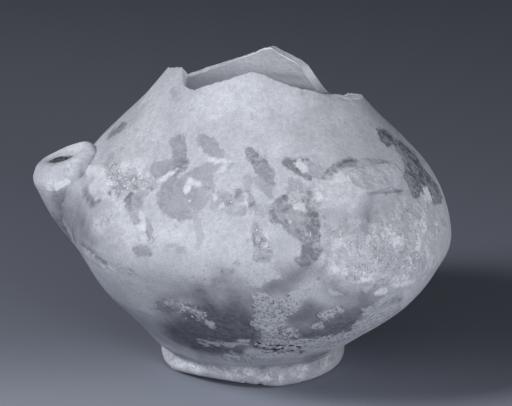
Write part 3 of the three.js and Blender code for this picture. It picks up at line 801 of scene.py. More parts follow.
# the lower half: its underside and outside in one strip, its inside in another
def lowerWall():
    under, floor = np.array(pot["under"]), np.array(pot["floor"])
    levels = evenLevels(pot["outline"][0][0], pot["seam"], pot["lowerRows"])
    inside = np.linspace(pot["seam"], floor[0][1] + pot["overFloor"], pot["lowerInside"])
    outerCount = len(under) + len(levels)
    bm, row, step, angle = turnedGrid([outerCount, len(inside) + len(floor)], pot["spokes"])
    points = np.zeros((len(row), 3))

    onUnder, at = strip(row, 0, len(under))
    radius, height = under[at].T
    points[onUnder] = polar(radius, angle, height)[onUnder]

    onOuter, at = strip(row, len(under), len(levels))
    height = levels[at]
    points[onOuter], fields = outerWall(angle[onOuter], height[onOuter])

    onInner, at = strip(row, outerCount, len(inside))
    points[onInner] = innerWall(angle, inside[at])[onInner]

    onFloor, at = strip(row, outerCount + len(inside), len(floor))
    radius, height = floor[at].T
    deep, turns, fade = pot["swirl"]
    swirl = deep * np.sin(radius * turns + angle) * smooth(radius / fade)
    points[onFloor] = polar(radius, angle, height + swirl)[onFloor]
    setPoints(bm, points)

    setFields(bm, {name: np.full(len(row), coat["nowhere"]) for name in ("paint", "crust")})
    setFields(bm, {"bare": np.where(onUnder, pot["underBare"], 0.0)})
    setFields(bm, fields, onOuter)
    markRows(bm, step, np.where(onOuter, 0, np.where(onUnder, 1, 2)))
    near, joined = pot["poles"]
    poles = [v for v, radius in zip(bm.verts, np.hypot(points[:, 0], points[:, 1])) if radius < near]
    bmesh.ops.remove_doubles(bm, verts=poles, dist=joined)
    return bm


# the step round the pot and the kind of surface stay with each vertex
def markRows(bm, step, kinds):
    stepLayer = bm.verts.layers.int.new("step")
    kindLayer = bm.verts.layers.int.new("kind")
    for v, number, kind in zip(bm.verts, step.tolist(), kinds.tolist()):
        v[stepLayer], v[kindLayer] = number, kind
    for face in bm.faces:
        face.material_index = max(v[kindLayer] for v in face.verts)


# closes a half at the seam, and gives back the seam's normals by step and side
def closeSeam(bm):
    stepLayer = bm.verts.layers.int["step"]
    kindLayer = bm.verts.layers.int["kind"]
    rim = [edge for edge in bm.edges if edge.is_boundary]
    caps = set(bmesh.ops.bridge_loops(bm, edges=rim)["faces"])
    bmesh.ops.recalc_face_normals(bm, faces=bm.faces)
    bm.normal_update()
    for face in caps:
        face.material_index = 2
    found = {}
    for v in {v for edge in rim for v in edge.verts}:
        total = Vector()
        for face in v.link_faces:
            if face not in caps:
                total += face.normal * face.calc_area()
        found[v[kindLayer] > 0, v[stepLayer]] = (v.index, total)
    return found


upper, lower = upperWall(), lowerWall()
for bm in (upper, lower):
    bm.verts.index_update()
upperSeam, lowerSeam = closeSeam(upper), closeSeam(lower)
print("both halves of the wall are shaped")


def seamNormals(bm, own, other):
    normals = [v.normal.copy() for v in bm.verts]
    for key, (index, total) in own.items():
        normals[index] = (total + other[key][1]).normalized()
    return normals


upperNormals = seamNormals(upper, upperSeam, lowerSeam)
lowerNormals = seamNormals(lower, lowerSeam, upperSeam)

# materials

def feed(tree, socket, value):
    if isinstance(value, bpy.types.NodeSocket):
        tree.links.new(value, socket)
    else:
        socket.default_value = value


def addNode(tree, kind, inputs=None, **settings):
    made = tree.nodes.new("ShaderNode" + kind)
    for name, value in settings.items():
        setattr(made, name, value)
    for name, value in (inputs or {}).items():
        feed(tree, made.inputs[name], value)
    return made


def ramp(tree, value, low, high, start=0.0, end=1.0):
    inputs = {"Value": value, "From Min": low, "From Max": high, "To Min": start, "To Max": end}
    return addNode(tree, "MapRange", inputs, interpolation_type="SMOOTHSTEP").outputs["Result"]


def math2(tree, operation, a, b):
    return addNode(tree, "Math", {0: a, 1: b}, operation=operation).outputs[0]


def plus(tree, a, b):
    return math2(tree, "ADD", a, b)


def minus(tree, a, b):
    return math2(tree, "SUBTRACT", a, b)


def times(tree, a, b):
    return math2(tree, "MULTIPLY", a, b)


# a pattern set round nought, and how far it swings
def swing(tree, value, size):
    return times(tree, minus(tree, value, 0.5), size)


def mixColour(tree, factor, a, b, blend="MIX"):
    return addNode(tree, "Mix", {0: factor, 6: a, 7: b}, data_type="RGBA", blend_type=blend).outputs[2]


def layOver(tree, colour, mask, strength, over):
    return mixColour(tree, times(tree, mask, strength), colour, over)


def objectNoise(tree, scale, detail=4.0, roughness=0.55, shift=(0, 0, 0), stretch=(1, 1, 1)):
    place = addNode(tree, "TexCoord").outputs["Object"]
    moved = addNode(tree, "Mapping", {"Vector": place, "Location": shift, "Scale": stretch}).outputs[0]
    return addNode(tree, "TexNoise", {"Vector": moved, "Scale": scale, "Detail": detail,
                                      "Roughness": roughness}).outputs["Fac"]


def objectCells(tree, scale):
    place = addNode(tree, "TexCoord").outputs["Object"]
    return addNode(tree, "TexVoronoi", {"Vector": place, "Scale": scale}, feature="F1").outputs["Distance"]


# shader node groups, with numbers in and out

def newGroup(name, inputs, outputs):
    group = bpy.data.node_groups.new(name, "ShaderNodeTree")
    for label, value in inputs.items():
        socket = group.interface.new_socket(label, in_out="INPUT", socket_type="NodeSocketFloat")
        socket.default_value = value
    for label in outputs:
        group.interface.new_socket(label, in_out="OUTPUT", socket_type="NodeSocketFloat")
    return group, group.nodes.new("NodeGroupInput").outputs, group.nodes.new("NodeGroupOutput").inputs


def useGroup(tree, name, **inputs):
    made = addNode(tree, "Group", node_tree=bpy.data.node_groups[name])
    for label, value in inputs.items():
        feed(tree, made.inputs[label.replace("_", " ").capitalize()], value)
    return made.outputs


# clouds, fine grain and dark specks of fired clay
def buildClayGrain():
    group, given, made = newGroup("clayGrain", {"Cloud scale": 90.0, "Grain scale": 1400.0, "Speck share": 0.3},
                                  ["Tone", "Specks", "Height"])
    cloud = objectNoise(group, given["Cloud scale"], 5, 0.6)
    grain = objectNoise(group, given["Grain scale"], 3, 0.6, (0.3, 0.1, 0.7))
    speck = objectNoise(group, 900.0, 2, 0.5, (0.9, 0.5, 0.2))
    limit = minus(group, 0.78, times(group, given["Speck share"], 0.2))
    feed(group, made["Tone"], plus(group, times(group, cloud, 0.7), times(group, grain, 0.3)))
    feed(group, made["Specks"], ramp(group, minus(group, speck, limit), 0.0, 0.05))
    feed(group, made["Height"], grain)


# a crisp worn edge from a soft distance in mm
def buildWornEdge():
    group, given, made = newGroup(
        "wornEdge", {"Distance": 0.0, "Raggedness": 0.6, "Scale": 700.0, "Softness": 0.3}, ["Mask"])
    wander = objectNoise(group, given["Scale"], 4, 0.6, (0.2, 0.8, 0.4))
    moved = plus(group, given["Distance"], swing(group, wander, times(group, given["Raggedness"], 2.0)))
    edge = ramp(group, moved, times(group, given["Softness"], -1.0), given["Softness"])
    feed(group, made["Mask"], edge)


# lumpy lime, with painted shade in the low gaps between its lumps
def buildLimeCrust():
    group, given, made = newGroup("limeCrust", {"Scale": 600.0}, ["Tone", "Shaded gaps", "Height"])
    lumps = objectNoise(group, given["Scale"], 5, 0.7, (0.6, 0.2, 0.9))
    feed(group, made["Tone"], lumps)
    feed(group, made["Shaded gaps"], ramp(group, lumps, 0.43, 0.36))
    feed(group, made["Height"], plus(group, lumps, times(group, objectCells(group, 800.0), 0.5)))


# scattered pale flakes, denser where the share is high, with dark gaps where they lie thickly: partly bare clay,
# partly painted shadow round the flakes
def buildFlakes():
    group, given, made = newGroup("paleFlakes", {"Share": 0.3, "Scale": 420.0}, ["Mask", "Shaded gaps"])
    spots = objectNoise(group, given["Scale"], 5, 0.65, (0.1, 0.4, 0.6))
    above = minus(group, spots, minus(group, 0.74, times(group, given["Share"], 0.26)))
    feed(group, made["Mask"], ramp(group, above, 0.0, 0.04))
    near = times(group, ramp(group, above, -0.07, -0.02), ramp(group, above, 0.02, -0.01))
    feed(group, made["Shaded gaps"], times(group, near, ramp(group, given["Share"], 0.6, 0.85)))


# pin holes and small pits
def buildPits():
    group, given, made = newGroup("clayPits", {"Scale": 330.0, "Size": 0.1}, ["Mask"])
    few = ramp(group, objectNoise(group, 60.0, 2, 0.5, (0.7, 0.7, 0.1)), 0.5, 0.6)
    near = math2(group, "LESS_THAN", objectCells(group, given["Scale"]), given["Size"])
    feed(group, made["Mask"], times(group, near, few))


# the fine level lines that a wheel leaves
def buildWheelLines():
    group, given, made = newGroup("wheelLines", {"Scale": 60.0}, ["Height"])
    feed(group, made["Height"], objectNoise(group, given["Scale"], 3, 0.6, (0.0, 0.0, 0.3), (0.25, 0.25, 9.0)))


for build in (buildClayGrain, buildWornEdge, buildLimeCrust, buildFlakes, buildPits, buildWheelLines):
    build()


def attribute(tree, name):
    return addNode(tree, "Attribute", attribute_name=name).outputs["Fac"]


def newMaterial(name, specular=0.25):
    material = bpy.data.materials.new(name)
    material.use_nodes = True
    tree = material.node_tree
    tree.nodes.clear()
    shader = addNode(tree, "BsdfPrincipled", {"Specular IOR Level": specular})
    addNode(tree, "OutputMaterial", {"Surface": shader.outputs[0]})
    return material, tree, shader.inputs


def addBump(tree, sockets, height):
    bump = addNode(tree, "Bump", {"Height": height, "Strength": 1.0, "Distance": 1.0})
    feed(tree, sockets["Normal"], bump.outputs[0])


tint = (0.105, 0.18)               # how cool the grey is, and how much cooler where it is dark
tintShares = (-0.5, -0.25, 0.5)    # what that adds to red, green and blue


# the photograph's cool grey
def grey(level, cooler=0.0):
    least, more = tint
    cool = least + more * (1 - level) ** 2 + cooler
    return (*(level * (1 + share * cool) for share in tintShares), 1)


slipLook = {
    "slip": grey(0.56), "paleAndLit": grey(0.73), "worn": grey(0.32), "bare": grey(0.10), "paint": grey(0.085, 0.10),
    "flake": grey(0.78), "lime": grey(0.52), "limeShade": grey(0.26), "gap": grey(0.06), "speck": grey(0.13),
    "roughness": (0.74, 0.94),
    # m of bump
    "grainDepth": 0.00010, "crustDepth": 0.00040, "lineDepth": 0.00016, "flakeDepth": 0.00018,
    "hollowDepth": 0.0008, "pitDepth": 0.0003,
}
# the foot's pale colour is bright for the painted light on the foot's left end
footLook = dict(slipLook, slip=grey(0.40), paleAndLit=grey(0.84), bare=grey(0.12), flake=grey(0.66), grainDepth=0.0004)
stubLook = dict(slipLook, slip=grey(0.57), worn=grey(0.36), flake=grey(0.66), roughness=(0.85, 1.0))

# patterns of the coat: scale, detail, roughness and shift
patterns = {
    "stain": (30.0, 4, 0.55, (0.31, 0.17, 0.53)),
    "blotch": (115.0, 8, 0.62, (0.11, 0.57, 0.29)),
    "fine": (620.0, 5, 0.62, (0.71, 0.23, 0.37)),
    "grit": (2100.0, 2, 0.6, (0.13, 0.91, 0.43)),
    "kept": (210.0, 8, 0.68, (0.47, 0.83, 0.19)),
    "hollows": (520.0, 3, 0.6, (0.37, 0.21, 0.77)),
}
# the two levels of a pattern between which the slip goes from one brightness to another
contrasts = {
    "stain": (0.36, 0.64, 0.89, 1.04), "blotch": (0.36, 0.64, 0.94, 1.04),
    "fine": (0.34, 0.66, 0.91, 1.05), "grit": (0.34, 0.66, 0.89, 1.06),
}
# the two levels between which each mask goes from 0 to 1, or between the two values after them
edges = {
    "paleAndLit": (0.35, 0.6, 0.4, 1.0), "kept": (0.49, 0.60), "keptFlakes": (0.1, 0.6), "worn": (0.62, 0.74),
    "mottled": (0.0, 0.3, 0.2, 1.0), "bare": (0.05, 0.95), "bareTone": (0.35, 0.68),
    "rubbed": (0.36, 0.54, 0.45, 1.05), "rubbedPatches": (0.34, 0.58, 0.62, 1.10),
    "thick": (0.14, 0.42, 0.15, 1.0), "limeTone": (0.38, 0.58), "thinLime": (0.0, 1.0, 0.7, 0.0),
    "hollows": (0.47, 0.41), "thickest": (0.44, 0.56), "pits": (0.1, 0.5), "sheen": (0.3, 0.7),
}
# how far one pattern moves the edge of another
moves = {
    "keptFine": 0.5, "wornFine": 0.35, "wornFlake": 0.26, "mottleBlotch": 0.9, "mottleFine": 0.5,
    "rubbedFlake": 0.10,
}
# how strongly each layer covers the ones below it
covers = {
    "kept": 0.80, "worn": 0.52, "bareDark": 0.65, "flakeGapShade": 0.55, "flakes": 0.75, "lime": 0.88,
    "pits": 0.7, "specks": 0.30,
}


# slip with paint, flakes and lime over darker clay
def coatedClay(name, look):
    material, tree, sockets = newMaterial(name)
    grain = useGroup(tree, "clayGrain", cloud_scale=70.0, grain_scale=1500.0, speck_share=0.35)
    noises = {key: objectNoise(tree, *pattern) for key, pattern in patterns.items()}
    blotch, fine = noises["blotch"], noises["fine"]
    flake, bare, thickness = (attribute(tree, key) for key in ("flake", "bare", "thickness"))

    paleAndLit = times(tree, attribute(tree, "paleAndLit"), ramp(tree, blotch, *edges["paleAndLit"]))
    colour = mixColour(tree, paleAndLit, look["slip"], look["paleAndLit"])
    for key, contrast in contrasts.items():
        tone = ramp(tree, noises[key], *contrast)
        toneColour = addNode(tree, "CombineColor", {"Red": tone, "Green": tone, "Blue": tone}).outputs[0]
        colour = mixColour(tree, 1.0, colour, toneColour, "MULTIPLY")

    # thicker slip left in patches, and slip worn off in others
    kept = ramp(tree, plus(tree, noises["kept"], swing(tree, fine, moves["keptFine"])), *edges["kept"])
    kept = times(tree, kept, ramp(tree, flake, *edges["keptFlakes"]))
    colour = layOver(tree, colour, kept, covers["kept"], look["flake"])
    wear = plus(tree, blotch, swing(tree, fine, moves["wornFine"]))
    worn = ramp(tree, plus(tree, wear, times(tree, flake, moves["wornFlake"])), *edges["worn"])
    colour = layOver(tree, colour, worn, covers["worn"], look["worn"])

    # bare clay with a soft, mottled edge
    mottle = plus(tree, swing(tree, blotch, moves["mottleBlotch"]), swing(tree, fine, moves["mottleFine"]))
    mottle = times(tree, mottle, ramp(tree, bare, *edges["mottled"]))
    bareColour = mixColour(tree, ramp(tree, fine, *edges["bareTone"]), look["bare"], look["worn"])
    bareColour = mixColour(tree, covers["bareDark"], bareColour, look["bare"])
    colour = mixColour(tree, ramp(tree, plus(tree, bare, mottle), *edges["bare"]), colour, bareColour)

    # paint, rubbed thin in places
    paint = useGroup(tree, "wornEdge", distance=attribute(tree, "paint"), raggedness=1.2, scale=560.0,
                     softness=0.45)["Mask"]
    rubbed = ramp(tree, minus(tree, fine, times(tree, flake, moves["rubbedFlake"])), *edges["rubbed"])
    rubbed = times(tree, rubbed, ramp(tree, blotch, *edges["rubbedPatches"]))
    paint = times(tree, times(tree, paint, rubbed), attribute(tree, "cover"))
    colour = mixColour(tree, paint, colour, look["paint"])

    flakes = useGroup(tree, "paleFlakes", share=flake, scale=720.0)
    # dark ring round the flakes: partly bare clay, partly painted shadow, in the worn colour
    colour = layOver(tree, colour, flakes["Shaded gaps"], covers["flakeGapShade"], look["worn"])
    colour = layOver(tree, colour, flakes["Mask"], covers["flakes"], look["flake"])

    # lime, rougher where it is thick, and hollow where it is thickest; painted shade darkens its low lumps, gaps
    # and hollows
    lime = useGroup(tree, "limeCrust", scale=1150.0)
    crust = useGroup(tree, "wornEdge", distance=attribute(tree, "crust"), raggedness=1.5, scale=900.0,
                     softness=0.45)["Mask"]
    thick = ramp(tree, thickness, *edges["thick"])
    limeColour = mixColour(tree, ramp(tree, lime["Tone"], *edges["limeTone"]), look["limeShade"], look["lime"])
    limeColour = mixColour(tree, ramp(tree, thick, *edges["thinLime"]), limeColour, look["lime"])
    limeColour = mixColour(tree, times(tree, lime["Shaded gaps"], thick), limeColour, look["gap"])
    colour = layOver(tree, colour, crust, covers["lime"], limeColour)
    hollows = times(tree, ramp(tree, noises["hollows"], *edges["hollows"]),
                    times(tree, crust, ramp(tree, thickness, *edges["thickest"])))
    colour = mixColour(tree, hollows, colour, look["gap"])

    pits = times(tree, useGroup(tree, "clayPits", scale=420.0, size=0.10)["Mask"], ramp(tree, bare, *edges["pits"]))
    dark = math2(tree, "MAXIMUM", times(tree, pits, covers["pits"]), times(tree, grain["Specks"], covers["specks"]))
    feed(tree, sockets["Base Color"], mixColour(tree, dark, colour, look["speck"]))
    feed(tree, sockets["Roughness"], ramp(tree, grain["Tone"], *edges["sheen"], *look["roughness"]))

    lines = useGroup(tree, "wheelLines", scale=55.0)["Height"]
    limeHeight = times(tree, lime["Height"], times(tree, crust, thick))
    height = times(tree, grain["Height"], look["grainDepth"])
    for part, depth in ((lines, "lineDepth"), (limeHeight, "crustDepth"), (flakes["Mask"], "flakeDepth")):
        height = plus(tree, height, times(tree, part, look[depth]))
    for part, depth in ((hollows, "hollowDepth"), (worn, "flakeDepth"), (pits, "pitDepth")):
        height = minus(tree, height, times(tree, part, look[depth]))
    addBump(tree, sockets, height)
    return material


plainLook = {
    "clouds": 140.0, "tone": (0.32, 0.66),
    "gritScale": 0.7, "gritPattern": (2, 0.5, (0.2, 0.9, 0.1)), "gritEdge": (0.6, 0.68),
    "grit": (0.4, grey(0.62)), "specks": (0.5, grey(0.09)),
    "lumpScale": 0.45, "lumpPattern": (5, 0.65, (0.4, 0.6, 0.5)),
}


# one clay with no coat: broken faces, the inside and the soil
def plainClay(name, light, dark, grainDepth, scale=900.0, roughness=0.95, gritShare=0.6):
    material, tree, sockets = newMaterial(name)
    grain = useGroup(tree, "clayGrain", cloud_scale=plainLook["clouds"], grain_scale=scale, speck_share=gritShare)
    colour = mixColour(tree, ramp(tree, grain["Tone"], *plainLook["tone"]), dark, light)
    grit = objectNoise(tree, scale * plainLook["gritScale"], *plainLook["gritPattern"])
    colour = layOver(tree, colour, ramp(tree, grit, *plainLook["gritEdge"]), *plainLook["grit"])
    colour = layOver(tree, colour, grain["Specks"], *plainLook["specks"])
    feed(tree, sockets["Base Color"], colour)
    feed(tree, sockets["Roughness"], roughness)
    lumps = objectNoise(tree, scale * plainLook["lumpScale"], *plainLook["lumpPattern"])
    addBump(tree, sockets, times(tree, lumps, grainDepth))
    return material


slipClay = coatedClay("slippedClay", slipLook)
footClay = coatedClay("footClay", footLook)
stubClay = coatedClay("stubClay", stubLook)
brokenClay = plainClay("brokenClay", grey(0.74), grey(0.56), 0.0005, gritShare=0.4)
# painted light: the inside is coloured near white to make up for light that the lamps don't bring in through the
# mouth
insideClayPaintedLight = plainClay("insideClayPaintedLight", grey(0.98), grey(0.86), 0.0003, scale=1200.0, roughness=0.9, gritShare=0.2)
soil = plainClay("packedSoil", grey(0.16), grey(0.02), 0.0010, scale=1300.0, roughness=1.0, gritShare=0.9)
print("materials built")

finishPiece(upper, "upper_wall", ["upper_body"], [slipClay, brokenClay, insideClayPaintedLight], upperNormals)
finishPiece(lower, "lower_wall", ["lower_body"], [slipClay, footClay, insideClayPaintedLight], lowerNormals)

# foot ring

foot = {
    "profile": [
        (24.9, 0.5), (25.3, 0.08), (26.4, 0.0), (27.6, 0.0), (28.8, 0.03), (29.5, 0.15), (30.1, 0.55), (30.55, 1.2),
        (30.8, 2.1), (30.9, 3.1), (30.85, 4.2), (30.75, 5.2), (30.7, 6.0), (30.6, 6.7), (30.2, 7.2), (29.4, 7.35),
        (27.0, 7.4), (24.6, 7.4), (24.1, 7.1), (24.1, 6.4), (24.3, 5.0), (24.5, 3.4), (24.7, 1.8),
    ],
    "spokes": 480, "perSpan": 3,
    "top": 7.4,
    "arch": (-150.0, -75.0, 2.1),  # the worn arch: from, to, height
    # chips below a height and outside a radius, most where the foot is worn
    "chips": 0.6, "chipRise": 1.8, "chipPlace": (2.2, 27.5, 2), "chipShare": (0.5, 1.6),
    "chipGrain": (4.0, 3, 3.0), "chipLimit": 0.05,
    "uneven": [(0.12, 6.0, 3, 2.0)],
    "bareShare": 0.6, "stain": (26.8, 1.2),
}


def footRing():
    closed = throughRows(foot["profile"] + foot["profile"][:1], foot["perSpan"])[:-1]
    bm, row, _, angle = turnedGrid([len(closed)], foot["spokes"], closed=True)
    radius, height = closed[row].T
    start, end, rise = foot["arch"]
    share = (np.degrees(np.arctan2(np.sin(angle), np.cos(angle))) - start) / (end - start)
    arch = np.where((share > 0) & (share < 1), rise * np.sin(math.pi * np.clip(share, 0, 1)), 0)
    height = height + arch * np.clip(1 - height / foot["top"], 0, 1)
    points = polar(radius, angle, height)

    below, outside, fade = foot["chipPlace"]
    atEdge = smooth((below - height + arch) / below) * smooth((radius - outside) / fade)
    least, more = foot["chipShare"]
    chipped = np.clip(rough(points, *foot["chipGrain"]) - foot["chipLimit"], 0, 1) * (least + more * smooth(arch))
    points[:, 2] += foot["chips"] * foot["chipRise"] * chipped * atEdge
    inward = foot["chips"] * chipped * atEdge + bumps(points, foot["uneven"])
    points[:, :2] *= (1 - inward / np.maximum(radius, 1))[:, None]
    setPoints(bm, points)

    place = placedVerts(bm)
    fields = surfaceFields(place)
    # the underside and the inside of the ring are stained
    inside, fade = foot["stain"]
    fields["bare"] = np.maximum(foot["bareShare"] * softSum(place, barePaths), smooth((inside - radius) / fade))
    setFields(bm, fields)
    return bm


finishPiece(footRing(), "foot", ["foot_ring"], [footClay])

# spout

spout = {
    "heading": 186.0, "lean": 62.0,
    "angle": 188.0, "height": 71.9, "offset": 10.0,
    "tip": 11.8, "root": 10.05, "rootDown": 30.8, "swell": 0.6,
    "lip": 5.2, "lipWidth": 3.8,
    "faceTilt": 17.0,              # how much more level the face of the tip is, in degrees
    "tiltRadius": (10.5, 6.0), "tiltDown": (9, 6),   # where the tilt ends, and its fade
    # radius and distance down the axis, from the bottom of the bore to the crest of the rim
    "mouth": [(0.0, 6.0), (2.4, 5.9), (3.4, 5.4), (3.6, 3.8), (3.7, 2.2), (3.8, 1.35), (3.95, 1.0), (4.3, 0.8),
              (5.0, 0.55), (5.9, 0.3), (6.8, 0.1), (7.7, 0.0)],
    "spokes": 220, "lipRows": 14, "shaftRows": 62,
    "lipFrom": 0.12,
    "closing": [0.8, 0.55, 0.3, 0.12, 0.0], "reach": 1.0, "sunk": 1.2,   # the root, inside the wall
    "beyond": 1.3,                 # where the taper ends, in lengths of the shaft
    "search": (0.5, 40, 800),      # where the root is looked for: mm below the tip, and the number of tries
    "leastShaft": 0.4, "tipWeld": 0.3,
    "bare": (4.0, 0.6, 0.6, 1.0),  # the dark bore: radius, fade, depth, fade
    "lumps": [(0.20, 9.0, 2, 3.0), (0.06, 2.6, 3, 5.0)],
}

spoutRay = np.array(polar(math.cos(math.radians(spout["lean"])), math.radians(spout["heading"]),
                          math.sin(math.radians(spout["lean"]))))
spoutTip = polar(wallRadius(math.radians(spout["angle"]), spout["height"]) + spout["offset"],
                 math.radians(spout["angle"]), spout["height"])
# across the spout: outwards from the pot, and to its side
spoutOut = np.array([spoutRay[0] * spoutRay[2], spoutRay[1] * spoutRay[2], spoutRay[2] ** 2 - 1])
spoutOut = spoutOut / np.linalg.norm(spoutOut)
spoutSide = np.cross(spoutRay, spoutOut)


def spoutRadius(down):
    tip, lip = spout["tip"], spout["lip"]
    lipShare = 1 - np.clip(down, 0, lip) / lip
    rolled = tip - spout["lipWidth"] * (1 - np.sqrt(np.clip(1 - lipShare ** 2, 0, 1)))
    share = np.clip((down - lip) / (spout["rootDown"] - lip), 0, spout["beyond"])
    shaft = tip + (spout["root"] - tip) * share ** 2 + spout["swell"] * np.sin(math.pi * np.clip(share, 0, 1))
    return np.where(down < lip, rolled, shaft)


def onSpout(radius, turnAngle, down):
    across = np.cos(turnAngle)[:, None] * spoutOut + np.sin(turnAngle)[:, None] * spoutSide
    tilt = math.tan(math.radians(spout["faceTilt"])) * np.cos(turnAngle) * radius
    (wide, wideFade), (deep, deepFade) = spout["tiltRadius"], spout["tiltDown"]
    tilt = tilt * smooth((wide - radius) / wideFade) * smooth((deep - down) / deepFade)
    return spoutTip + across * radius[:, None] - spoutRay * (down - tilt)[:, None]


# where each line down the side runs into the wall
def spoutRoots(turnAngle, depth=0.0):
    downs = np.linspace(*spout["search"])
    found = np.zeros(len(turnAngle))
    for i, one in enumerate(turnAngle):
        line = onSpout(spoutRadius(downs), np.full(len(downs), one), downs)
        found[i] = downs[np.argmax(outsideWall(line) < -depth)]
    return found


def spoutTube():
    lip = spout["lip"]
    mouth = np.array(spout["mouth"])
    lipDowns = lip * (1 - np.cos(np.linspace(spout["lipFrom"], math.pi / 2, spout["lipRows"])))
    shaft = np.linspace(0, 1, spout["shaftRows"])[1:]
    closing = np.array(spout["closing"])
    counts = [len(mouth), len(lipDowns), len(shaft), len(closing)]
    bm, row, step, angle = turnedGrid([sum(counts)], spout["spokes"])
    stepAngles = spokeAngle(np.arange(spout["spokes"]), spout["spokes"])
    ends = np.maximum(spoutRoots(stepAngles, spout["reach"]), lip + spout["leastShaft"])[step]
    points = np.zeros((len(row), 3))

    inMouth, at = strip(row, 0, counts[0])
    radius, down = mouth[at].T
    points[inMouth] = onSpout(radius, angle, down)[inMouth]

    onLip, at = strip(row, counts[0], counts[1])
    points[onLip] = onSpout(spoutRadius(lipDowns[at]), angle, lipDowns[at])[onLip]

    onShaft, at = strip(row, sum(counts[:2]), counts[2])
    down = lip + shaft[at] * (ends - lip)
    points[onShaft] = onSpout(spoutRadius(down), angle, down)[onShaft]

    # the root is closed inside the wall
    inRoot, at = strip(row, sum(counts[:3]), counts[3])
    edge = onSpout(spoutRadius(ends), angle, ends)
    middle = edge.mean(axis=0)
    points[inRoot] = setInWall(middle + closing[at][:, None] * (edge - middle), spout["sunk"])[inRoot]
    setPoints(bm, points)
    tip = [v for v, first in zip(bm.verts, row == 0) if first]
    bmesh.ops.remove_doubles(bm, verts=tip, dist=spout["tipWeld"])
    bmesh.ops.remove_doubles(bm, verts=bm.verts, dist=weld)
    return bm


def buildSpout():
    bm = spoutTube()
    place = placedVerts(bm)
    points = place["points"]
    fields = surfaceFields(place)
    down = (spoutTip - points) @ spoutRay
    away = np.linalg.norm(np.cross(points - spoutTip, spoutRay), axis=1)
    wide, wideFade, deep, deepFade = spout["bare"]
    inBore = smooth((wide - away) / wideFade) * smooth((down - deep) / deepFade)
    fields["bare"] = np.maximum(fields["bare"], inBore)
    lump = bumps(points, spout["lumps"]) * (1 - inBore) * smooth(outsideWall(points) + 1.0)
    setPoints(bm, points + place["normals"] * lump[:, None])
    setFields(bm, fields)
    return bm


finishPiece(buildSpout(), "spout_tube", ["spout"], [slipClay])


# clay wiped round the root of the spout

luting = {
    "onSpout": 5.5, "onWall": 6.5, "spokes": 260, "across": 26, "depth": 1.3, "sunk": 0.10,
    # how the width wanders: its pattern, and by what share on the wall and on the spout
    "wander": (9.0, 2, 2.0), "wallWander": 0.5, "spoutWander": 0.4,
    "least": 0.4, "belowTip": 3.5, "shareUp": 0.6,
    "swell": 0.12, "lumps": [(0.20, 4.5, 3, 6.0)],
}


def spoutLuting():
    spokes = luting["spokes"]
    stepAngles = spokeAngle(np.arange(spokes), spokes)
    downs = spoutRoots(stepAngles)
    root = onSpout(spoutRadius(downs), stepAngles, downs)
    out = wallNormal(np.arctan2(root[:, 1], root[:, 0]), root[:, 2])
    away = np.cross(np.roll(root, -1, axis=0) - np.roll(root, 1, axis=0), out)
    away /= np.linalg.norm(away, axis=1)[:, None]
    away *= np.sign(((root - root.mean(axis=0)) * away).sum(axis=1))[:, None]
    wander = rough(root, *luting["wander"])
    width = luting["onWall"] * (1 + luting["wallWander"] * wander)
    onWall = setInWall(root + away * width[:, None], luting["sunk"])
    least = luting["least"]
    up = np.clip(luting["onSpout"] * (1 - luting["spoutWander"] * wander), least,
                 np.maximum((downs - luting["belowTip"]) * luting["shareUp"], least))
    high = downs - up
    onSide = onSpout(spoutRadius(high) - luting["sunk"], stepAngles, high)
    deep = setInWall(root, luting["depth"])

    share = np.linspace(0, 1, luting["across"])
    bm, row, step, _ = turnedGrid([len(share) + 1], spokes, closed=True)
    t = share[np.clip(row, 0, len(share) - 1)][:, None]
    points = bend(t, onSide[step], root[step], onWall[step])
    points = np.where((row == len(share))[:, None], deep[step], points)
    setPoints(bm, points)
    place = placedVerts(bm)
    fields = surfaceFields(place)
    lift = (luting["swell"] + bumps(points, luting["lumps"])) * np.sin(math.pi * t[:, 0])
    lift = (lift + raised(place) + bumps(points, pot["uneven"]) * t[:, 0]) * (row < len(share))
    setPoints(bm, points + place["normals"] * lift[:, None])
    setFields(bm, fields)
    return bm


finishPiece(spoutLuting(), "spout_root_clay", ["spout_luting"], [slipClay])


# soil packed in the hole of the spout, sunk on the side towards the pot

plug = {
    "spokes": 64, "faceRows": 12, "radius": 3.78,
    "top": 1.15, "sunk": (1.3, 0.6, 3.6),   # mm below the tip; how much deeper, from where, and the fade
    "side": 3.2, "closing": 0.9,
    "lumps": [(0.45, 1.5, 3, 1.0)],
}


def spoutSoil():
    rim = plug["faceRows"] - 1
    bm, row, _, angle = turnedGrid([rim + 3], plug["spokes"])
    radius = np.linspace(0, plug["radius"], rim + 1)[np.clip(row, 0, rim)]
    deeper, start, fade = plug["sunk"]
    top = plug["top"] + deeper * smooth((start - radius * np.cos(angle)) / fade)
    down = np.where(row <= rim, top, plug["side"] + (row - rim) * plug["closing"])
    radius = np.where(row == rim + 2, 0.0, radius)
    points = onSpout(radius, angle, down)
    points = points + spoutRay * (bumps(points, plug["lumps"]) * (row < rim))[:, None]
    setPoints(bm, points)
    bmesh.ops.remove_doubles(bm, verts=bm.verts, dist=weld)
    bmesh.ops.recalc_face_normals(bm, faces=bm.faces)
    return bm


finishPiece(spoutSoil(), "spout_soil", [], [soil])

# stub of the handle

stub = {
    "angle": 314.5, "height": 72.2,
    "halfWidth": 11.2, "halfThickness": 4.7,
    "highSide": 3.4, "lowSide": 1.3,
    "spokes": 200, "faceRows": 22, "sideRows": 10, "closing": [0.7, 0.4, 0.0], "sunk": 1.2,
    "power": 2.4,                  # a little squarer than an oval
    "ragged": [(0.05, 3, 1), (0.03, 7, 4)],   # waves in its edge: share of the size, number and shift
    "calm": (0.55, 6),             # how much less grain there is at the edge, and how steeply that comes
    "above": 6.0, "far": 20.0,     # mm off the wall where a search for it starts, and how deep it goes
    "grain": [(0.30, 4.2, 3, 2.0), (0.10, 1.3, 2, 3.0)],
}

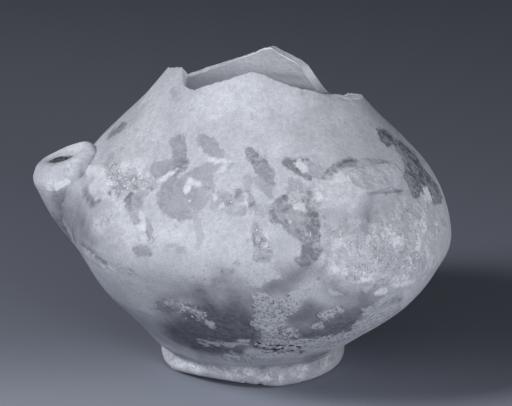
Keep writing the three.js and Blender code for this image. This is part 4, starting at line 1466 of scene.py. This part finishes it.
stubAngle = math.radians(stub["angle"])
stubMiddle = polar(wallRadius(stubAngle, stub["height"]), stubAngle, stub["height"])
stubOut = wallNormal(stubAngle, stub["height"])
stubLevel = np.array([-math.sin(stubAngle), math.cos(stubAngle), 0])
stubUp = np.cross(stubOut, stubLevel)


def onStub(x, y, level):
    return stubMiddle + x[:, None] * stubLevel + y[:, None] * stubUp + level[:, None] * stubOut


# the level of the pot's wall under a place on the stub
def wallLevel(x, y, depth=0.0):
    start = onStub(x, y, np.full(len(x), stub["above"]))
    return stub["above"] - reachWall(start, np.tile(-stubOut, (len(x), 1)), stub["far"], depth)


def stubEdge(angle):
    ragged = sum((share * np.sin(waves * angle + shift) for share, waves, shift in stub["ragged"]), 1)
    power = stub["power"]
    size = (np.abs(np.cos(angle)) ** power + np.abs(np.sin(angle)) ** power) ** (-1 / power)
    return (stub["halfWidth"] * ragged * size * np.cos(angle),
            stub["halfThickness"] * ragged * size * np.sin(angle))


def stubTop(y):
    share = np.clip((y / stub["halfThickness"] + 1) / 2, 0, 1)
    return stub["highSide"] + (stub["lowSide"] - stub["highSide"]) * share


def handleStub():
    face = np.linspace(0, 1, stub["faceRows"])
    side = np.linspace(0, 1, stub["sideRows"])[1:]
    closing = np.array(stub["closing"])
    counts = [len(face), len(side), len(closing)]
    bm, row, _, angle = turnedGrid([sum(counts)], stub["spokes"])
    edgeX, edgeY = stubEdge(angle)
    onFace, atFace = strip(row, 0, counts[0])
    _, atSide = strip(row, counts[0], counts[1])
    under, atUnder = strip(row, sum(counts[:2]), counts[2])
    share = np.where(under, closing[atUnder], np.where(onFace, face[atFace], 1.0))
    x, y = edgeX * share, edgeY * share
    top, bottom = stubTop(y), wallLevel(x, y, stub["sunk"])
    level = np.where(onFace, top, np.where(under, bottom, top + side[atSide] * (bottom - top)))
    points = onStub(x, y, level)
    calm, steep = stub["calm"]
    grain = bumps(points, stub["grain"]) * onFace * (1 - calm * smooth(share * steep - (steep - 1)))
    setPoints(bm, points + stubOut * grain[:, None])
    bmesh.ops.remove_doubles(bm, verts=bm.verts, dist=weld)
    setFields(bm, surfaceFields(placedVerts(bm)))
    return bm


finishPiece(handleStub(), "handle_break", ["handle_stub"], [stubClay])


# clay smeared from the handle on to the wall, widest to the left of the stub

smear = {
    "spokes": 260, "across": 24,
    "sharing": 1.3,                # how soon one side of the stub passes into the next
    # to the left, below, to the right and above: how far it runs, and how much of the stub it covers
    "runs": (9.0, 1.8, 3.4, 4.0), "holds": (1.0, 0.25, 0.8, 1.0),
    "clock": 8.0, "wander": (5.0, 2, 3.0), "wanderShare": 0.3, "flatter": 0.8,
    "rightLap": 0.5,               # how much less the clay rolls over the edge on the right
    # shares of the stub's size across and up, each with what a full lap adds
    "onTop": (0.99, -0.12, 0.98, -0.2), "round": (1.02, 0.06, 1.02, 0.14), "under": (0.97, 0, 0.95, 0),
    "lapDown": 0.15, "lapRise": 1.15,
    "depth": 1.0, "sunk": 0.1,
    "lumps": [(0.25, 4.0, 3, 5.0)],
}


def handleLuting():
    across = smear["across"]
    bm, row, _, angle = turnedGrid([across + 1], smear["spokes"], closed=True)
    edgeX, edgeY = stubEdge(angle)
    sharing = smear["sharing"]
    left = smooth(-np.cos(angle) * sharing)
    low = smooth(-np.sin(angle) * sharing) * (1 - left)
    right = smooth(np.cos(angle) * sharing) * (1 - low)
    sides = (left, low, right, np.clip(1 - left - low - right, 0, 1))
    run = sum(length * share for length, share in zip(smear["runs"], sides))
    held = sum(much * share for much, share in zip(smear["holds"], sides))
    clock = polar(np.full(len(angle), smear["clock"]), angle, 0)
    run = run * (1 + smear["wanderShare"] * rough(clock, *smear["wander"]))
    size = np.hypot(edgeX / stub["halfWidth"], edgeY / stub["halfThickness"])
    outX, outY = edgeX / stub["halfWidth"] / size, edgeY / stub["halfThickness"] / size
    wallX, wallY = edgeX + outX * run, edgeY + outY * run * smear["flatter"]

    # the clay rolls over the stub's edge, least below it and to its right
    lap = np.clip(1 - low - smear["rightLap"] * right, 0, 1)

    def nearEdge(shares, level):
        across, acrossLap, up, upLap = shares
        return onStub(edgeX * (across + acrossLap * lap), edgeY * (up + upLap * lap), level)

    wall, top = wallLevel(edgeX, edgeY), stubTop(edgeY)
    high = nearEdge(smear["onTop"], wall + (top - wall) * held - smear["lapDown"] * lap)
    corner = nearEdge(smear["round"], wall + smear["lapRise"] * lap * (top - wall))
    feather = onStub(wallX, wallY, wallLevel(wallX, wallY, smear["sunk"]))
    deep = nearEdge(smear["under"], wallLevel(edgeX, edgeY, smear["depth"]))
    t = (np.clip(row, 0, across - 1) / (across - 1))[:, None]
    points = bend(t, high, corner, feather)
    points = np.where((row == across)[:, None], deep, points)
    setPoints(bm, points)
    place = placedVerts(bm)
    lift = bumps(points, smear["lumps"]) * np.sin(math.pi * t[:, 0]) * (row < across)
    setPoints(bm, points + place["normals"] * lift[:, None])
    setFields(bm, surfaceFields(place))
    return bm


finishPiece(handleLuting(), "handle_root_clay", ["handle_luting"], [slipClay])

# floor and light

stage = {
    # distance behind the pot's axis in m, and how pale the paper is there; paler in front as painted light
    "paperPaintedLight": [(-0.050, 0.375), (-0.014, 0.26), (0.022, 0.18), (0.10, 0.20), (0.26, 0.175), (0.60, 0.19)],
    "tint": 0.08, "size": 3.0, "roughness": 0.9, "specular": 0.1,
    "world": 0.05, "sky": (0.9, 0.93, 1.0, 1),
    "aim": (0, 0, 0.05),
    "key": {"place": (-0.74, -0.30, 0.66), "size": 0.30, "power": 7.5},
    "fill": {"place": (0.64, -1.08, 0.25), "size": 0.44, "power": 11.2},
}


def buildStage():
    bm = bmesh.new()
    bmesh.ops.create_grid(bm, x_segments=1, y_segments=1, size=stage["size"])
    mesh = bpy.data.meshes.new("floor")
    bm.to_mesh(mesh)
    bm.free()
    material, tree, sockets = newMaterial("paperPaintedLight", stage["specular"])
    depth = addNode(tree, "SeparateXYZ", {"Vector": addNode(tree, "TexCoord").outputs["Object"]}).outputs["Y"]
    near, far = stage["paperPaintedLight"][0][0], stage["paperPaintedLight"][-1][0]
    share = addNode(tree, "MapRange", {"Value": depth, "From Min": near, "From Max": far}).outputs["Result"]
    tones = addNode(tree, "ValToRGB", {"Fac": share})
    tones.color_ramp.interpolation = "B_SPLINE"
    stops = tones.color_ramp.elements
    while len(stops) < len(stage["paperPaintedLight"]):
        stops.new(0.5)
    for stop, (place, paleAndLit) in zip(stops, stage["paperPaintedLight"]):
        stop.position = (place - near) / (far - near)
        stop.color = grey(paleAndLit, stage["tint"])
    feed(tree, sockets["Base Color"], tones.outputs["Color"])
    feed(tree, sockets["Roughness"], stage["roughness"])
    mesh.materials.append(material)
    floor = bpy.data.objects.new("floor", mesh)
    bpy.context.scene.collection.objects.link(floor)


def addLamp(name, look):
    lamp = bpy.data.lights.new(name, "AREA")
    lamp.size = look["size"]
    lamp.energy = look["power"]
    holder = bpy.data.objects.new(name, lamp)
    holder.location = look["place"]
    holder.rotation_euler = (Vector(stage["aim"]) - holder.location).to_track_quat("-Z", "Y").to_euler()
    bpy.context.scene.collection.objects.link(holder)


buildStage()
addLamp("keyLamp", stage["key"])
addLamp("fillLamp", stage["fill"])
world = bpy.data.worlds.new("studio")
world.use_nodes = True
background = world.node_tree.nodes["Background"].inputs
background["Color"].default_value = stage["sky"]
background["Strength"].default_value = stage["world"]
bpy.context.scene.world = world
bpy.context.scene.view_settings.view_transform = "Standard"
print("stage and lamps set")
